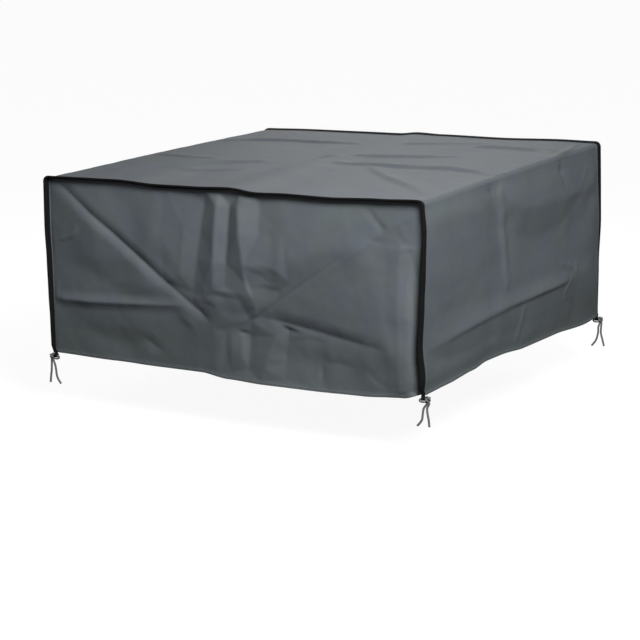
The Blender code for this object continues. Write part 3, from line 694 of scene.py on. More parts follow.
# The pleats that hang from the top seam, and the small folds where they end.
FRONT_TUCKS = [
    [(-600, 0, 0), (-150, 0, 0), (-72, -12, 0), (-31, -12, 0), (5, -12, 0), (33, -12, 0), (90, -12, 0),
     (150, -12, 0), (600, 0, 0)],
    [(-600, -520, 0), (-30, -520, 0), (600, -520, 0)],
    [(-600, 0, 0), (-600, -520, 0)],
    [(600, 0, 0), (600, -520, 0)],
    [(-128, -12, -3.3), (-134, -120, 6.7), (-140, -240, 7.4)],
    [(-72, -12, 0), (-76, -50, -3.1), (-84, -120, -1.7), (-91, -200, 0.4), (-97, -256, -2.3),
     (-104, -290, -5.4)],
    [(-31, -12, 0), (-32, -50, 12.8), (-32, -120, 15.7), (-33, -200, 14.7), (-33, -256, 5.6),
     (-33, -310, 1.3)],
    [(5, -12, 0), (5, -50, -1.1), (5, -120, 1), (2, -200, -1.2), (0, -262, -1.1)],
    [(33, -12, 0), (37, -50, 14.2), (46, -120, 18.1), (60, -200, 12.7), (70, -250, 5.6),
     (86, -290, 3.2)],
    [(90, -12, 0), (94, -50, -2.4), (100, -120, 1.4), (116, -195, 10.4)],
    [(-200, -12, 0), (-205, -150, 0), (-190, -270, 0), (-120, -330, 0)],
    [(160, -12, 0), (175, -120, 0), (190, -230, 0), (150, -290, 0), (110, -330, 0)],
    [(60, -200, 12.7), (116, -195, 10.4), (160, -205, 6)],
    [(72, -245, 2.7), (116, -226, 1.6), (165, -232, 1.3)],
    [(78, -262, 0.1), (125, -255, -3.4), (165, -262, -3.6)],
    [(-97, -256, -2.3), (-65, -262, 2.1), (-33, -256, 5.6)],
    [(-33, -272, 3.3), (0, -274, 2.5), (40, -274, 1.8), (62, -280, 2.3), (86, -290, 3.2)],
    [(-33, -286, -0.7), (0, -290, -3.6), (40, -290, -2.9), (70, -300, 0.3)],
    [(-104, -290, -5.4), (-65, -294, -0.3), (-33, -294, 0.4)],
    [(-104, -312, -3.5), (-65, -316, -3.3), (-33, -316, -0.5)],
    [(-20, -330, -1.4), (20, -335, -2.5), (60, -328, -5.5)],
    [(86, -290, 3.2), (92, -312, 4.3), (88, -330, 3.7)],
    [(-120, -330, 0), (-75, -352, 0), (-42, -374, 0), (20, -358, 0), (70, -348, 0), (110, -330, 0)],
    [(-42, -374, 0), (-34, -440, 0), (-34, -520, 0)],
    [(-6, -385, -2.5), (-8, -430, -4.6), (-12, -495, -2.5)],
    [(10, -385, -1), (12, -430, -0.3), (12, -495, -2.7)],
    [(40, -392, -2.7), (42, -425, -0.4), (46, -450, -0.2)],
    [(64, -392, -9.1), (64, -430, -7.5), (60, -480, -6.8)],
    [(158, -352, 0), (142, -385, -0.6), (132, -410, 0.6), (122, -440, 1.4), (110, -470, 0.1),
     (102, -510, 0.1)],
    [(178, -360, -8.8), (176, -395, -9.6), (170, -420, -8.1), (172, -450, -6.9), (176, -495, -3)],
    [(232, -385, -2.9), (236, -440, -1.5), (240, -495, -1.5)],
    [(275, -385, -1.9), (282, -440, -2.5), (284, -495, -2.2)],
    [(110, -330, 0), (158, -352, 0), (225, -368, 0), (300, -380, 0), (310, -440, 0), (312, -520, 0)],
    [(470, -120, 0), (466, -300, 0), (466, -520, 0)],
    [(505, -125, 2.8), (503, -200, 4.1), (503, -300, 6.6), (505, -400, 3.7), (507, -490, 5.8)],
    [(530, -125, -0.8), (530, -200, 0), (530, -300, 3.7), (530, -400, 1.8), (530, -490, 1.4)],
    [(552, -125, -0.5), (552, -200, -6), (552, -300, -10.5), (552, -400, -12.7), (552, -490, -7.3)],
    [(470, -120, 0), (505, -100, 0), (560, -100, 0)],
]
FRONT_CREASES = [
    Crease([(-565.8, -10.7, 0), (-502.7, -52.7, -6.2), (-434.7, -100.7, -8.6), (-369.7, -144.7, -9.2),
            (-276.7, -208.7, -9.4), (-183.7, -273.7, -7.3), (-136.8, -305.6, -6.4),
            (-85.8, -336.7, -5.9), (-39.6, -370.8, 0)], 28, 27, 2),
    Crease([(-568, -347, 0), (-519.9, -347, 7.4), (-449.9, -345, 10.2), (-379.8, -342, 9.8),
            (-299.8, -337, 9.8), (-189.8, -331, 6.4), (-119.7, -325, 0)], 26, 26, 2),
    Crease([(553.4, -11.8, 0), (497.2, -46.8, 2.3), (453.1, -77.9, 1.9), (385.1, -126.9, 2.2),
            (318.1, -174.9, 1.1), (251.1, -221.9, 0), (183.1, -268.9, 0.4), (127.1, -308.9, 0.8),
            (90.1, -335.9, -1.2), (37.2, -371.9, 0)], 24, 9, 1.3),
    Crease([(540, -20, 0), (497, -47, -1.4), (453, -78, -1.6), (385, -127, -1.6), (318, -175, -1.6),
            (251, -222, -1.6), (183, -269, -1.6), (127, -309, -1.6), (90, -336, -1.2),
            (37, -372, 0)], 7, 7, 1.2),
    Crease([(80.3, -332, 0), (120.3, -339, -4.2), (168.3, -345, -8.6), (220.3, -353, -8.7),
            (261.3, -359, -7.9), (320.3, -368, -8.4), (370.3, -375, -7.4), (430.3, -382, -5.1),
            (480.3, -389, 0)], 34, 55, 1.8),
    Crease([(-562, -290, 0), (-549, -302, 0.9), (-551, -340, 1.1), (-553, -360, 0)], 8, 10, 1.3),
    Crease([(-552, -182, 0), (-520, -181, 1.8), (-490, -167, 3), (-460, -138, 0)], 12, 8, 1.3),
    Crease([(-380, -398, 0), (-330, -408, 0.5), (-280, -425, -0.9), (-240, -445, -4.2),
            (-190, -465, 0)], 26, 26, 1.6),
    Crease([(-160, -345, 0), (-120, -368, 1.8), (-90, -385, -0.1), (-70, -400, 0)], 24, 20, 1.5),
    Crease([(65, -205, 0), (100, -208, 1.6), (140, -212, -0.2), (180, -215, 0)], 16, 12, 1.4),
    Crease([(100, -240, 0), (130, -248, 1.4), (170, -248, 0)], 12, 12, 1.4),
    Crease([(400, -18, 0), (425, -45, -1.9), (452, -72, -2.3), (470, -82, 0)], 12, 16, 1.3),
    Crease([(470, -30, 0), (510, -75, 0.7), (530, -115, 0)], 14, 16, 1.3),
    Crease([(400, -95, 0), (440, -108, -1.2), (480, -112, -0.6), (515, -120, 0)], 12, 12, 1.4),
    Crease([(495, -135, 0), (520, -118, 1.9), (552, -122, 0)], 10, 12, 1.3),
    Crease([(418, -440, 0), (430, -458, -1), (450, -474, -1.2), (485, -484, 0)], 14, 12, 1.3),
    Crease([(282, -440, 0), (281, -465, -2.1), (280, -495, 0)], 12, 12, 1.3),
    Crease([(200, -452, 0), (260, -440, 0.1), (330, -436, -1.1), (400, -448, 0)], 14, 10, 1.3),
    Crease([(25, -382, 0), (45, -384, -3.6), (70, -384, 0)], 8, 8, 1.2),
]


def creased(creases, a, b):
    """Height of all creases at flat places (mm)."""
    total = np.zeros(a.shape)
    for crease in creases:
        nearest = np.full(a.shape, np.inf)
        height, left_side = np.zeros(a.shape), np.zeros(a.shape, bool)
        for (a0, b0, h0), (a1, b1, h1) in zip(crease.points, crease.points[1:]):
            run_a, run_b = a1 - a0, b1 - b0
            length = math.hypot(run_a, run_b)
            t = np.clip(((a - a0) * run_a + (b - b0) * run_b) / length ** 2, 0, 1)
            apart_a, apart_b = a - a0 - run_a * t, b - b0 - run_b * t
            distance = np.hypot(apart_a, apart_b)
            closer = distance < nearest
            nearest = np.where(closer, distance, nearest)
            height = np.where(closer, between(h0, h1, eased(t)), height)
            left_side = np.where(closer, run_a * apart_b - run_b * apart_a > 0, left_side)
        spread = np.where(left_side, crease.left, crease.right)
        rounded = np.sqrt(nearest ** 2 + CREST ** 2) - CREST
        total += height * np.clip(1 - rounded / spread, 0, 1) ** crease.bend
    return total


def swelled(swells, a, b):
    """Height of all swells at flat places (mm)."""
    total = np.zeros(a.shape)
    for swell in swells:
        angle = math.radians(swell.turn)
        along = (a - swell.a) * math.cos(angle) + (b - swell.b) * math.sin(angle)
        across = (b - swell.b) * math.cos(angle) - (a - swell.a) * math.sin(angle)
        total += swell.height * np.exp(-(along / swell.reach_a) ** 2 - (across / swell.reach_b) ** 2)
    return total


def faceted(lines, a, b):
    """Height of flat facets between the lines of a table at flat places (mm)."""
    heights = {}
    for line in lines:
        for across, up, height in line:
            heights[across, up] = height
    places = list(heights)
    edges = [(places.index(start[:2]), places.index(end[:2]))
             for line in lines for start, end in zip(line, line[1:])]
    corners, _, facets, origins, _, _ = delaunay_2d_cdt(
        [Vector(place) for place in places], edges, [], 0, 1e-3)
    levels = [heights[places[origin[0]]] for origin in origins]
    total = np.zeros(a.shape)
    for first, second, third in facets:
        corner = corners[first]
        one, two = corners[second] - corner, corners[third] - corner
        turn = one.x * two.y - one.y * two.x
        if abs(turn) < 1e-6:
            continue
        share_one = ((a - corner.x) * two.y - (b - corner.y) * two.x) / turn
        share_two = ((b - corner.y) * one.x - (a - corner.x) * one.y) / turn
        inside = (share_one >= 0) & (share_two >= 0) & (share_one + share_two <= 1)
        level = levels[first] + (levels[second] - levels[first]) * share_one
        level += (levels[third] - levels[first]) * share_two
        total = np.where(inside, level, total)
    return total


def softened(height, rows, columns):
    """The height evened out with its neighbours, so many times each way."""
    for _ in range(rows):
        padded = np.pad(height, ((1, 1), (0, 0)), mode="edge")
        height = (padded[:-2] + 2 * height + padded[2:]) / 4
    for _ in range(columns):
        padded = np.pad(height, ((0, 0), (1, 1)), mode="edge")
        height = (padded[:, :-2] + 2 * height + padded[:, 2:]) / 4
    return height


def crinkled(layers, a, b):
    """Height of all layers of crinkles at flat places (mm)."""
    total = np.zeros(a.shape)
    for layer in layers:
        places = np.stack([a.ravel() / layer.size, b.ravel() / layer.size], axis=1).tolist()
        waves = [noise.noise((u, v, layer.seed)) for u, v in places]
        total += np.array(waves).reshape(a.shape) * layer.height
    return total


PAINTED_SHADE_HEIGHTS = (-0.42, -0.33)   # heights between which the cloth's colour turns to a painted shade, darker and greener towards the hem
YARN_PITCH = 0.0012


def polyester():
    """Slate grey cloth: cloudy, greener in places, and with a painted shade, darker and greener, in a
    band near the hem.
    """
    finish = Finish("coated_polyester", roughness=0.62, specular=0.42)
    place, along, across = finish.flat_place()
    yarn = math.tau / YARN_PITCH
    weave = (along * yarn).sine() * (across * yarn).sine() * 0.5 + 0.5
    cloudy = finish.noise(place, 5.0, 3.0, 0.55)
    tinted = finish.noise(place, 9.0, 2.0)
    grain = finish.noise(place, 260.0, 2.0)
    factor = cloudy * 0.7 + grain * 0.3
    cool = finish.mixed(factor, (0.065, 0.076, 0.088), (0.093, 0.107, 0.124))
    green = finish.mixed(factor, (0.068, 0.080, 0.085), (0.097, 0.112, 0.117))
    upper = finish.mixed(tinted.rising(0.42, 0.62), cool, green)
    # painted shade: below the middle crease the cloth is coloured darker and greener, standing in for
    # the shade that falls there
    painted_shade = finish.mixed(factor, (0.052, 0.062, 0.066), (0.084, 0.097, 0.101))
    finish.shades(finish.height().rising(*PAINTED_SHADE_HEIGHTS), painted_shade, upper)
    finish.bumps((grain, 0.0004), (weave, 0.00008))
    return finish.material


def thickened(piece, thickness):
    """A closed sheet of even thickness about the piece, which is its middle surface."""
    thick = piece.modifiers.new("thickness", "SOLIDIFY")
    thick.thickness = thickness
    thick.offset = 0.0
    return applied(piece)


def applied(piece):
    """The piece with its modifiers made part of its mesh."""
    shaped = bpy.data.meshes.new_from_object(
        piece.evaluated_get(bpy.context.evaluated_depsgraph_get()))
    piece.modifiers.clear()
    old, piece.data = piece.data, shaped
    bpy.data.meshes.remove(old)
    piece.data.name = piece.name
    piece.data.shade_smooth()
    piece.data.set_sharp_from_angle(angle=SHARP_FOLD)
    return piece


def level_line(grid, heights, level):
    """Where each column of a grid passes a level; its heights grow with the rows."""
    line = [[np.interp(level, heights[:, j], grid[:, j, axis]) for axis in range(3)]
            for j in range(grid.shape[1])]
    return np.array(line)


def hem_stands_out(above):
    """How far the turned hem stands out at heights above its edge."""
    return HEM_STEP * eased((HEM_TURN - above) / HEM_SLOPE + 0.5)


def end_panel(face, height_of, material):
    """Front or back panel: filled between its seam and its hem, edges turned out."""
    seam = seams[face]
    rim = seam.panel_edge()
    left, top, right = rim[seam.first::-1], rim[seam.first:seam.last + 1], rim[seam.last:]
    across = (top[:, 0] - top[0, 0]) / (top[-1, 0] - top[0, 0])
    down = (left[:, 2] - left[0, 2]) / (left[-1, 2] - left[0, 2])
    hem = between(left[-1], right[-1], column(across))
    hem[:, 2] += along_rows(HEMS[face], across, "rise") * MM
    hem += seam.forward * column(along_rows(HEMS[face], across, "out")) * MM
    wide, deep = across[None, :, None], down[:, None, None]
    grid = between(top[None], hem[None], deep) + between(left[:, None], right[:, None], wide)
    grid -= between(between(top[0], top[-1], wide), between(left[-1], right[-1], wide), deep)
    a, b = grid[..., 0] / MM, grid[..., 2] / MM
    to_seam = np.minimum(np.minimum(grid[..., 0] - left[:, None, 0],
                                    right[:, None, 0] - grid[..., 0]),
                         top[None, :, 2] - grid[..., 2])
    to_hem = grid[..., 2] - hem[None, :, 2]
    height = height_of(a, b) * MM * eased(to_seam / SEAM_FADE) + hem_stands_out(to_hem)
    grid += seam.forward * height[..., None]
    hem_lines[face] = level_line(grid[::-1], to_hem[::-1], HEM_SEWN) + seam.forward * CLOTH / 2
    flats = np.stack([grid[..., 0], grid[..., 2]], axis=-1)
    rows, columns = a.shape
    squares = grid_squares(rows, columns)
    edge = [j * columns for j in range(rows - 1, 0, -1)] + list(range(columns))
    edge += [j * columns + columns - 1 for j in range(1, rows)]
    points, flats = [grid.reshape(-1, 3)], [flats.reshape(-1, 2)]
    inner, start = np.array(edge), rows * columns
    for outward in LIPS:
        lip = seam.outer(outward, -CLOTH_OFFSET)
        ring = start + np.arange(len(edge))
        squares = np.concatenate([squares, np.stack(
            [inner[:-1], inner[1:], ring[1:], ring[:-1]], axis=1)])
        points.append(lip)
        flats.append(flats[0][edge] + np.array([0.0, outward]))
        inner, start = ring, start + len(edge)
    if face == "back":
        squares = squares[:, ::-1]
    panel = piece_of("dressed_" + face + "_panel", np.concatenate(points), squares,
                     np.concatenate(flats), material)
    return thickened(panel, CLOTH)


# how many times facets and tucks are evened out along the rows and columns of the grid
FACETS_SOFTENED = (15, 14)
TUCKS_SOFTENED = (1, 1)
FRONT_CRINKLES = (Crinkles(70.0, 0.9, 3.0), Crinkles(26.0, 0.4, 9.0))


def front_height(a, b):
    height = softened(faceted(FRONT_FACETS, a, b), *FACETS_SOFTENED)
    height += softened(faceted(FRONT_TUCKS, a, b), *TUCKS_SOFTENED)
    return height + creased(FRONT_CREASES, a, b) + crinkled(FRONT_CRINKLES, a, b)


cloth_finish = polyester()
hem_lines = {}
front_panel = end_panel("front", front_height, cloth_finish)
handed_in(front_panel, "front_panel")

# ----------------------------------------------------------------- back panel
# The same rectangle on the side that faces away, with creases of its own.
BACK_CREASES = [
    Crease([(-552, -22, 0), (-480, -75, 4), (-260, -230, 6), (-60, -360, 4),
            (-20, -385, 0)], 10, 30, 1.4),
    Crease([(550, -18, 0), (480, -70, 4), (300, -200, 5), (90, -330, 4), (40, -362, 0)], 30, 9, 1.4),
    Crease([(-540, -372, 0), (-380, -366, -3), (-200, -352, -3), (-120, -350, 0)], 16, 10, 1.3),
]
BACK_SWELLS = [
    Swell(-350, -460, 50, 60, -4, 0), Swell(130, -440, 26, 60, 5, 0),
    Swell(425, -400, 40, 80, -5, 0)]
# two pleats hang from the top seam again
BACK_TUCKS = [
    [(-140, -14, 0), (-148, -180, 0), (-120, -320, 0)],
    [(-62, -14, 0), (-70, -60, 9), (-84, -180, 10), (-90, -250, 6), (-96, -310, 0)],
    [(-30, -14, 0), (-31, -60, -3), (-32, -180, -3), (-36, -250, -1), (-40, -320, 0)],
    [(8, -14, 0), (7, -60, 11), (4, -180, 12), (2, -250, 7), (0, -315, 0)],
    [(46, -14, 0), (50, -60, 1), (58, -180, 0), (64, -250, 0), (70, -310, 0)],
    [(120, -14, 0), (126, -180, 0), (100, -320, 0)],
]


BACK_CRINKLES = (Crinkles(70.0, 0.9, 5.0), Crinkles(26.0, 0.4, 11.0))


def back_height(a, b):
    height = creased(BACK_CREASES, a, b) + swelled(BACK_SWELLS, a, b)
    height += softened(faceted(BACK_TUCKS, a, b), *TUCKS_SOFTENED)
    return height + crinkled(BACK_CRINKLES, a, b)


back_panel = end_panel("back", back_height, cloth_finish)
handed_in(back_panel, "back_panel")

# -------------------------------------------------- the strip: top and two sides
# One long strip of the same cloth runs up the left side, across the top and down the
# right side.  Its flat places are counted from the middle of the top over the right
# edge and down: x on the top, and 567 mm less the height on the right side.
TOP_CROWN = 0.003             # the top stands this much above its seams in the middle
HEM_FLARE = 1.5               # a side's outward bow gathers towards its hem by this power
TURN_FROM = 300               # mm; from here outward flat places count the height as well
TURN_WIDTH = 260              # mm; and over this width they come to count it in full
# places along the seams of the left side, the top and the right side
WRAP_LEFT = np.linspace(0.0, 1.0, 42)
WRAP_TOP = np.linspace(0.0, 1.0, 128)
WRAP_RIGHT = np.linspace(0.0, 1.0, 104)
# places from front to back, closer together where crests fall down the right side
WRAP_DEPTH = np.concatenate([
    np.linspace(0.00, 0.32, 38, endpoint=False), np.linspace(0.32, 0.43, 32, endpoint=False),
    np.linspace(0.43, 0.72, 38, endpoint=False), np.linspace(0.72, 0.80, 20, endpoint=False),
    np.linspace(0.80, 1.00, 28)])

# the top: bands dragged from the middle towards the corners
TOP_FACETS = [
    [(-566, -566, 0), (-300, -566, 0), (0, -566, 0), (300, -566, 0), (566, -566, 0)],
    [(566, -566, 0), (566, -300, 0), (566, 0, 0), (566, 300, 0), (566, 566, 0)],
    [(566, 566, 0), (300, 566, 0), (0, 566, 0), (-300, 566, 0), (-566, 566, 0)],
    [(-566, 566, 0), (-566, 300, 0), (-566, 0, 0), (-566, -300, 0), (-566, -566, 0)],
] + alone(
    (-420, -470, -1.2), (-200, -470, -0.3), (0, -470, -1.9), (200, -470, -0.5), (400, -470, -0.6),
    (-450, -280, -1.1), (-180, -330, -1.4), (0, -280, -1), (200, -300, -2), (420, -250, -0.9),
    (-480, -100, 0.8), (-300, 0, -0.4), (-100, -60, -0.3), (0, -150, 0.1), (120, -40, -0.3),
    (300, -80, -0.5), (480, -40, -0.6), (-450, 150, 0.4), (-220, 180, 0.3), (-50, 120, -0.5),
    (120, 60, -0.6), (300, 100, 0.2), (450, 180, 0.1), (-400, 340, -1.4), (-200, 360, -1.5),
    (0, 300, -1), (180, 300, -2.1), (350, 300, -1.9), (480, 400, -0.7), (-420, 480, 0.5),
    (-200, 480, 0.7), (0, 480, 2.3), (200, 480, 2), (400, 480, 0.2))
TOP_DRAGS = [
    [(-555, 248, 0), (-500, 272, 6), (-437, 300, 8), (-350, 319, 8), (-225, 331, 8), (-131, 350, 6),
     (-90, 362, 0)],
    [(-490, -430, 0), (-456, -394, 5), (-394, -325, 8), (-337, -262, 9), (-300, -187, 9),
     (-250, -131, 8), (-200, -87, 6), (-150, -70, 0)],
    [(-300, -335, 0), (-275, -312, 5), (-200, -269, 6), (-162, -237, 5), (-130, -205, 0)],
    [(-556, -86, 0), (-500, -100, 6), (-412, -119, 6), (-350, -106, 5), (-300, -92, 0)],
    [(10, 74, 0), (37, 87, 6), (87, 106, 8), (150, 119, 8), (212, 137, 8), (287, 169, 5), (330, 196, 0)],
    [(10, -56, 0), (50, -56, 6), (150, -56, 9), (275, -50, 9), (400, -56, 9), (462, -81, 8),
     (525, -119, 5), (556, -140, 0)],
    [(130, -60, 0), (181, -106, 4), (244, -181, 6), (306, -244, 7), (400, -337, 7), (462, -400, 5),
     (540, -500, 0)],
    [(240, 396, 0), (269, 394, 6), (306, 394, 8), (400, 375, 9), (462, 362, 9), (500, 331, 8),
     (545, 280, 0)],
    [(20, 352, 0), (56, 375, 5), (150, 412, 5), (244, 450, 4), (300, 470, 0)],
    [(-80, 30, 0), (-37, 44, 5), (10, 54, 0)],
]
TOP_CREASES = [Crease(points, 60, 18, 1.6) for points in TOP_DRAGS] + [
    Crease([(505, 556, 0), (512, 500, 4), (530, 412, 5), (544, 330, 5), (552, 225, 0)], 13, 16, 1.5),
]
# the right side: crests that fall from the top edge, and the long low crease above
# the band that hangs free under the furniture
RIGHT_FACETS = [
    [(548, -566, 0), (548, -450, 0), (548, -350, 0), (548, -250, 0), (548, -165, 0), (548, -100, 0),
     (548, 0, 0), (548, 100, 0), (548, 200, 0), (548, 300, 0), (548, 400, 0), (548, 500, 0),
     (548, 566, 0)],
    [(548, -566, 0), (620, -566, 0), (700, -566, 0), (800, -566, 0), (900, -566, 0), (950, -566, 0),
     (1000, -566, 0), (1057, -566, 0)],
    [(548, 566, 0), (620, 566, 0), (700, 566, 0), (800, 566, 0), (900, 566, 0), (950, 566, 0),
     (1000, 566, 0), (1059, 566, 0)],
    [(1057, -566, 0), (1056, -450, -2), (1050, -330, -2.3), (1045, -200, -2.2), (1044, -130, -1.6),
     (1048, -60, -1.3), (1050, 0, -0.6), (1050, 120, -0.7), (1052, 240, -0.5), (1054, 350, -0.6),
     (1057, 450, -0.1), (1059, 566, 0)],
    [(610, -500, 8.4), (615, -400, 8.7), (615, -300, 7.4), (607, -210, 3), (602, -150, 3)],
    [(609, -107, 7.4), (637, -70, 12), (660, 5, 15), (670, 98, 15), (665, 192, 16), (670, 257, 15),
     (672, 330, 13), (668, 430, 11), (655, 520, 11)],
    [(700, -85, -1.3), (740, -35, -1.5), (757, 50, -2), (760, 150, 0), (757, 250, 0.5), (738, 320, 1)],
] + alone(
    (800, -480, 2.9), (800, -350, 4.9), (800, -230, 5.8), (790, -140, 1.6), (800, -40, 3.1),
    (800, 80, -1.4), (800, 200, 1.9), (790, 300, 3.2), (770, 370, -1.7), (760, 440, 1.7),
    (760, 520, 6.7), (690, -480, 5.9), (690, -350, 7.3), (690, -230, 8.3), (690, -150, -3.5),
    (690, 400, 4.1), (690, 500, 3.1), (870, -480, 0.1), (870, -350, 0.7), (870, -230, 5.9),
    (880, -150, 5.7), (880, -40, 7.5), (880, 80, 6.2), (880, 200, 8.7), (870, 300, 7.6), (870, 370, 7.8),
    (870, 440, 7.8), (870, 520, 6.7)) + [
    [(949, -566, 0), (945, -480, 4.3), (937, -400, 5.5), (928, -300, 8.8), (922, -200, 12.7),
     (918, -100, 11.6), (917, 0, 10), (917, 100, 12.3), (917, 200, 14), (916, 300, 13.3),
     (908, 380, 12.9), (912, 460, 13.5), (920, 566, 0)],
] + alone(
    (990, -490, -7.8), (1000, -400, -7.5), (1000, -300, -4.2), (985, -180, 0.2), (1000, -90, -2.8),
    (1000, -10, -1.5), (1000, 80, 2.6), (1000, 150, 1.7), (1000, 230, 4), (985, 330, 5.9),
    (1010, 380, -3.1), (1000, 460, 7.5), (1000, 530, 5.8))
RIGHT_CREASES = [
    Crease([(955, -562, 0), (950, -520, 0.4), (945, -463, 1.3), (936, -369, 3.1), (928, -276, 4),
            (923, -182, 3.2), (918, -89, 4.3), (917, 0, 6), (916, 98, 7), (917, 200, 6.6),
            (917, 285, 4.9), (913, 341, -0.2), (905, 380, 0)], 40, 14, 1.8),
    Crease([(582.4, -133.5, 0), (598.4, -127.2, 3.8), (645.1, -119.1, 3.3), (699.2, -114, 5),
            (742.2, -108, 4.7), (795.3, -103, 4.3), (849.1, -98.1, 3.1),
            (891.9, -91.1, 0)], 34, 22, 1.2),
    Crease([(579.4, -210.3, 0), (595.1, -177.2, -4.7), (623.8, -164.6, -2.6), (637.2, -150.1, -1.1),
            (652.4, -137, 0)], 30, 14, 1.3),
    Crease([(569, 273.2, 0), (596.9, 289.1, -6.8), (617.4, 302.4, -2.7), (647.9, 313.6, 0),
            (672.8, 323.6, 0)], 30, 18, 1.3),
    Crease([(733.9, 263.7, 0), (749, 273.7, 0.1), (770.7, 284.5, 0.4), (783.2, 302.8, 0.6),
            (790.1, 330.5, 0)], 18, 14, 1.3),
    Crease([(596, 482, 0), (616, 466, 1.7), (640, 442, 1.6), (668, 405, 0)], 14, 14, 1.4),
    Crease([(862, 380, 0), (880, 377, 3), (898, 377, 3), (912, 376, 0)], 11, 12, 1.3),
    Crease([(908, 350, 0), (922, 330, 3), (940, 308, 3), (960, 280, 0)], 12, 12, 1.3),
    Crease([(925, 14, 0), (945, 7, 3), (970, 0, 3.5), (995, -12, 3), (1018, -28, 2.5),
            (1040, -50, 0)], 12, 12, 1.3),
    Crease([(930, -208, 0), (960, -200, 0.3), (990, -188, -0.9), (1010, -175, 0)], 16, 16, 1.4),
    Crease([(918, 545, 0), (910, 470, 0.4), (905, 415, 0.1), (902, 385, 0)], 10, 10, 1.3),
    Crease([(857, 250, 0), (868, 290, 2.1), (880, 335, 2.1), (885, 372, 0)], 16, 14, 1.3),
    Crease([(950, 285, 0), (965, 300, 1.1), (985, 325, -1.5), (1000, 350, 0)], 18, 18, 1.3),
]
# the left side: two soft crests, a drag line and a hollow between them
LEFT_CREASES = [
    Crease([(-575, -180, 0), (-680, -165, 6), (-900, -125, 5), (-960, -110, 0)], 26, 26, 1.5),
    Crease([(-575, 240, 0), (-680, 262, 6), (-850, 294, 5), (-900, 304, 0)], 26, 26, 1.5),
    Crease([(-940, -540, 0), (-930, -380, 4), (-922, -120, 5), (-926, 180, 4), (-940, 420, 4),
            (-948, 545, 0)], 9, 18, 1.3),
]
LEFT_SWELLS = [Swell(-780, 60, 90, 80, -5, 0)]
WRAP_SOFTENED = (6, 6)
WRAP_CRINKLES = (Crinkles(80.0, 1.0, 17.0), Crinkles(30.0, 0.35, 23.0))


def wrap_height(g, y):
    height = faceted(TOP_FACETS, g, y) + faceted(RIGHT_FACETS, g, y)
    height = softened(height, *WRAP_SOFTENED) + swelled(LEFT_SWELLS, g, y)
    height += creased(TOP_CREASES + RIGHT_CREASES + LEFT_CREASES, g, y)
    return height + crinkled(WRAP_CRINKLES, g, y)


near, far = (Seam(face, WRAP_LEFT, WRAP_TOP, WRAP_RIGHT) for face in ("front", "back"))
start, end = near.wrap_edge(), far.wrap_edge()
away = near.wrap_way + far.wrap_way
away[:, 1] = 0.0
away /= np.linalg.norm(away, axis=1)[:, None]
grid = between(start[:, None], end[:, None], WRAP_DEPTH[None, :, None])
rows = len(grid)
left_rows, right_rows = slice(0, len(WRAP_LEFT)), slice(rows - len(WRAP_RIGHT), rows)
side_down, on_side = np.zeros(rows), np.zeros(rows, bool)
side_down[left_rows], side_down[right_rows] = WRAP_LEFT[::-1], WRAP_RIGHT
on_side[left_rows], on_side[right_rows] = True, True
# how far the strip stands off the straight lines between its seams: its crown on top,
# its bow on the sides, then its folds and the turned hems
lift = TOP_CROWN * np.sin(math.pi * WRAP_DEPTH)[None] * np.clip(away[:, 2:], 0.0, 1.0)
for name, part in (("left", left_rows), ("right", right_rows)):
    share = side_down[part][:, None]
    grid[part, :, 2] += along_rows(HEMS[name], WRAP_DEPTH, "rise")[None] * MM * share
    lift[part] += along_rows(HEMS[name], WRAP_DEPTH, "out")[None] * MM * share ** HEM_FLARE
x, y, z = grid[..., 0] / MM, grid[..., 1] / MM, grid[..., 2] / MM
girth = x - np.sign(x) * z * eased((np.abs(x) - TURN_FROM) / TURN_WIDTH)
to_seam = np.minimum(grid[..., 1] - start[:, None, 1], end[:, None, 1] - grid[..., 1])
lift += wrap_height(girth, y) * MM * eased(to_seam / SEAM_FADE)
hem_depth = np.minimum(z - z[:1], z - z[-1:]) * MM
lift += np.where(on_side[:, None], hem_stands_out(hem_depth), 0.0)
grid += away[:, None] * lift[..., None]
for name, part, way in (("left", left_rows, -1.0), ("right", right_rows, 1.0)):
    side, above = grid[part], hem_depth[part]
    if name == "right":
        side, above = side[::-1], above[::-1]
    hem_lines[name] = level_line(side, above, HEM_SEWN) + np.array([way * CLOTH / 2, 0.0, 0.0])
flats = np.stack([girth * MM, grid[..., 1]], axis=-1)
for seam, at_start in ((near, True), (far, False)):
    edge = 0 if at_start else -1
    for outward in LIPS:
        lip = seam.outer(outward, CLOTH_OFFSET)[:, None]
        flat = flats[:, edge][:, None] + np.array([0.0, -outward if at_start else outward])
        grid = np.concatenate([lip, grid] if at_start else [grid, lip], axis=1)
        flats = np.concatenate([flat, flats] if at_start else [flats, flat], axis=1)
squares = np.roll(grid_squares(*grid.shape[:2]), -1, axis=1)   # the same, from the next corner
wrap = piece_of("dressed_wrap_panel", grid.reshape(-1, 3), squares, flats.reshape(-1, 2),
                cloth_finish)
handed_in(thickened(wrap, CLOTH), "wrap_panel")

# ----------------------------------------------------------------- the bindings
# Black woven tape, folded over the two standing cloth edges and sewn through, all
# the way round the front face and round the back face.
# places along the tape, on each side and on the top
TAPE_SIDES = np.linspace(0.0, 1.0, 110)
TAPE_TOP = np.linspace(0.0, 1.0, 240)
TAPE_BULGE = 0.0002           # the folded tape is a little fuller in the middle
TAPE_FULL = (0.0085, 0.0140)  # and this is where, from the seam outward
TAPE_NARROWS = 0.006          # near the hem it is cut narrower over this width


def on_tape(seam, outward, sideways):
    """Places on the tape, which narrows where it meets the hem."""
    cut = seam.cut * min(max((outward - TAPE_START) / TAPE_NARROWS, 0.0), 1.0)
    return seam.point(outward - cut, sideways)


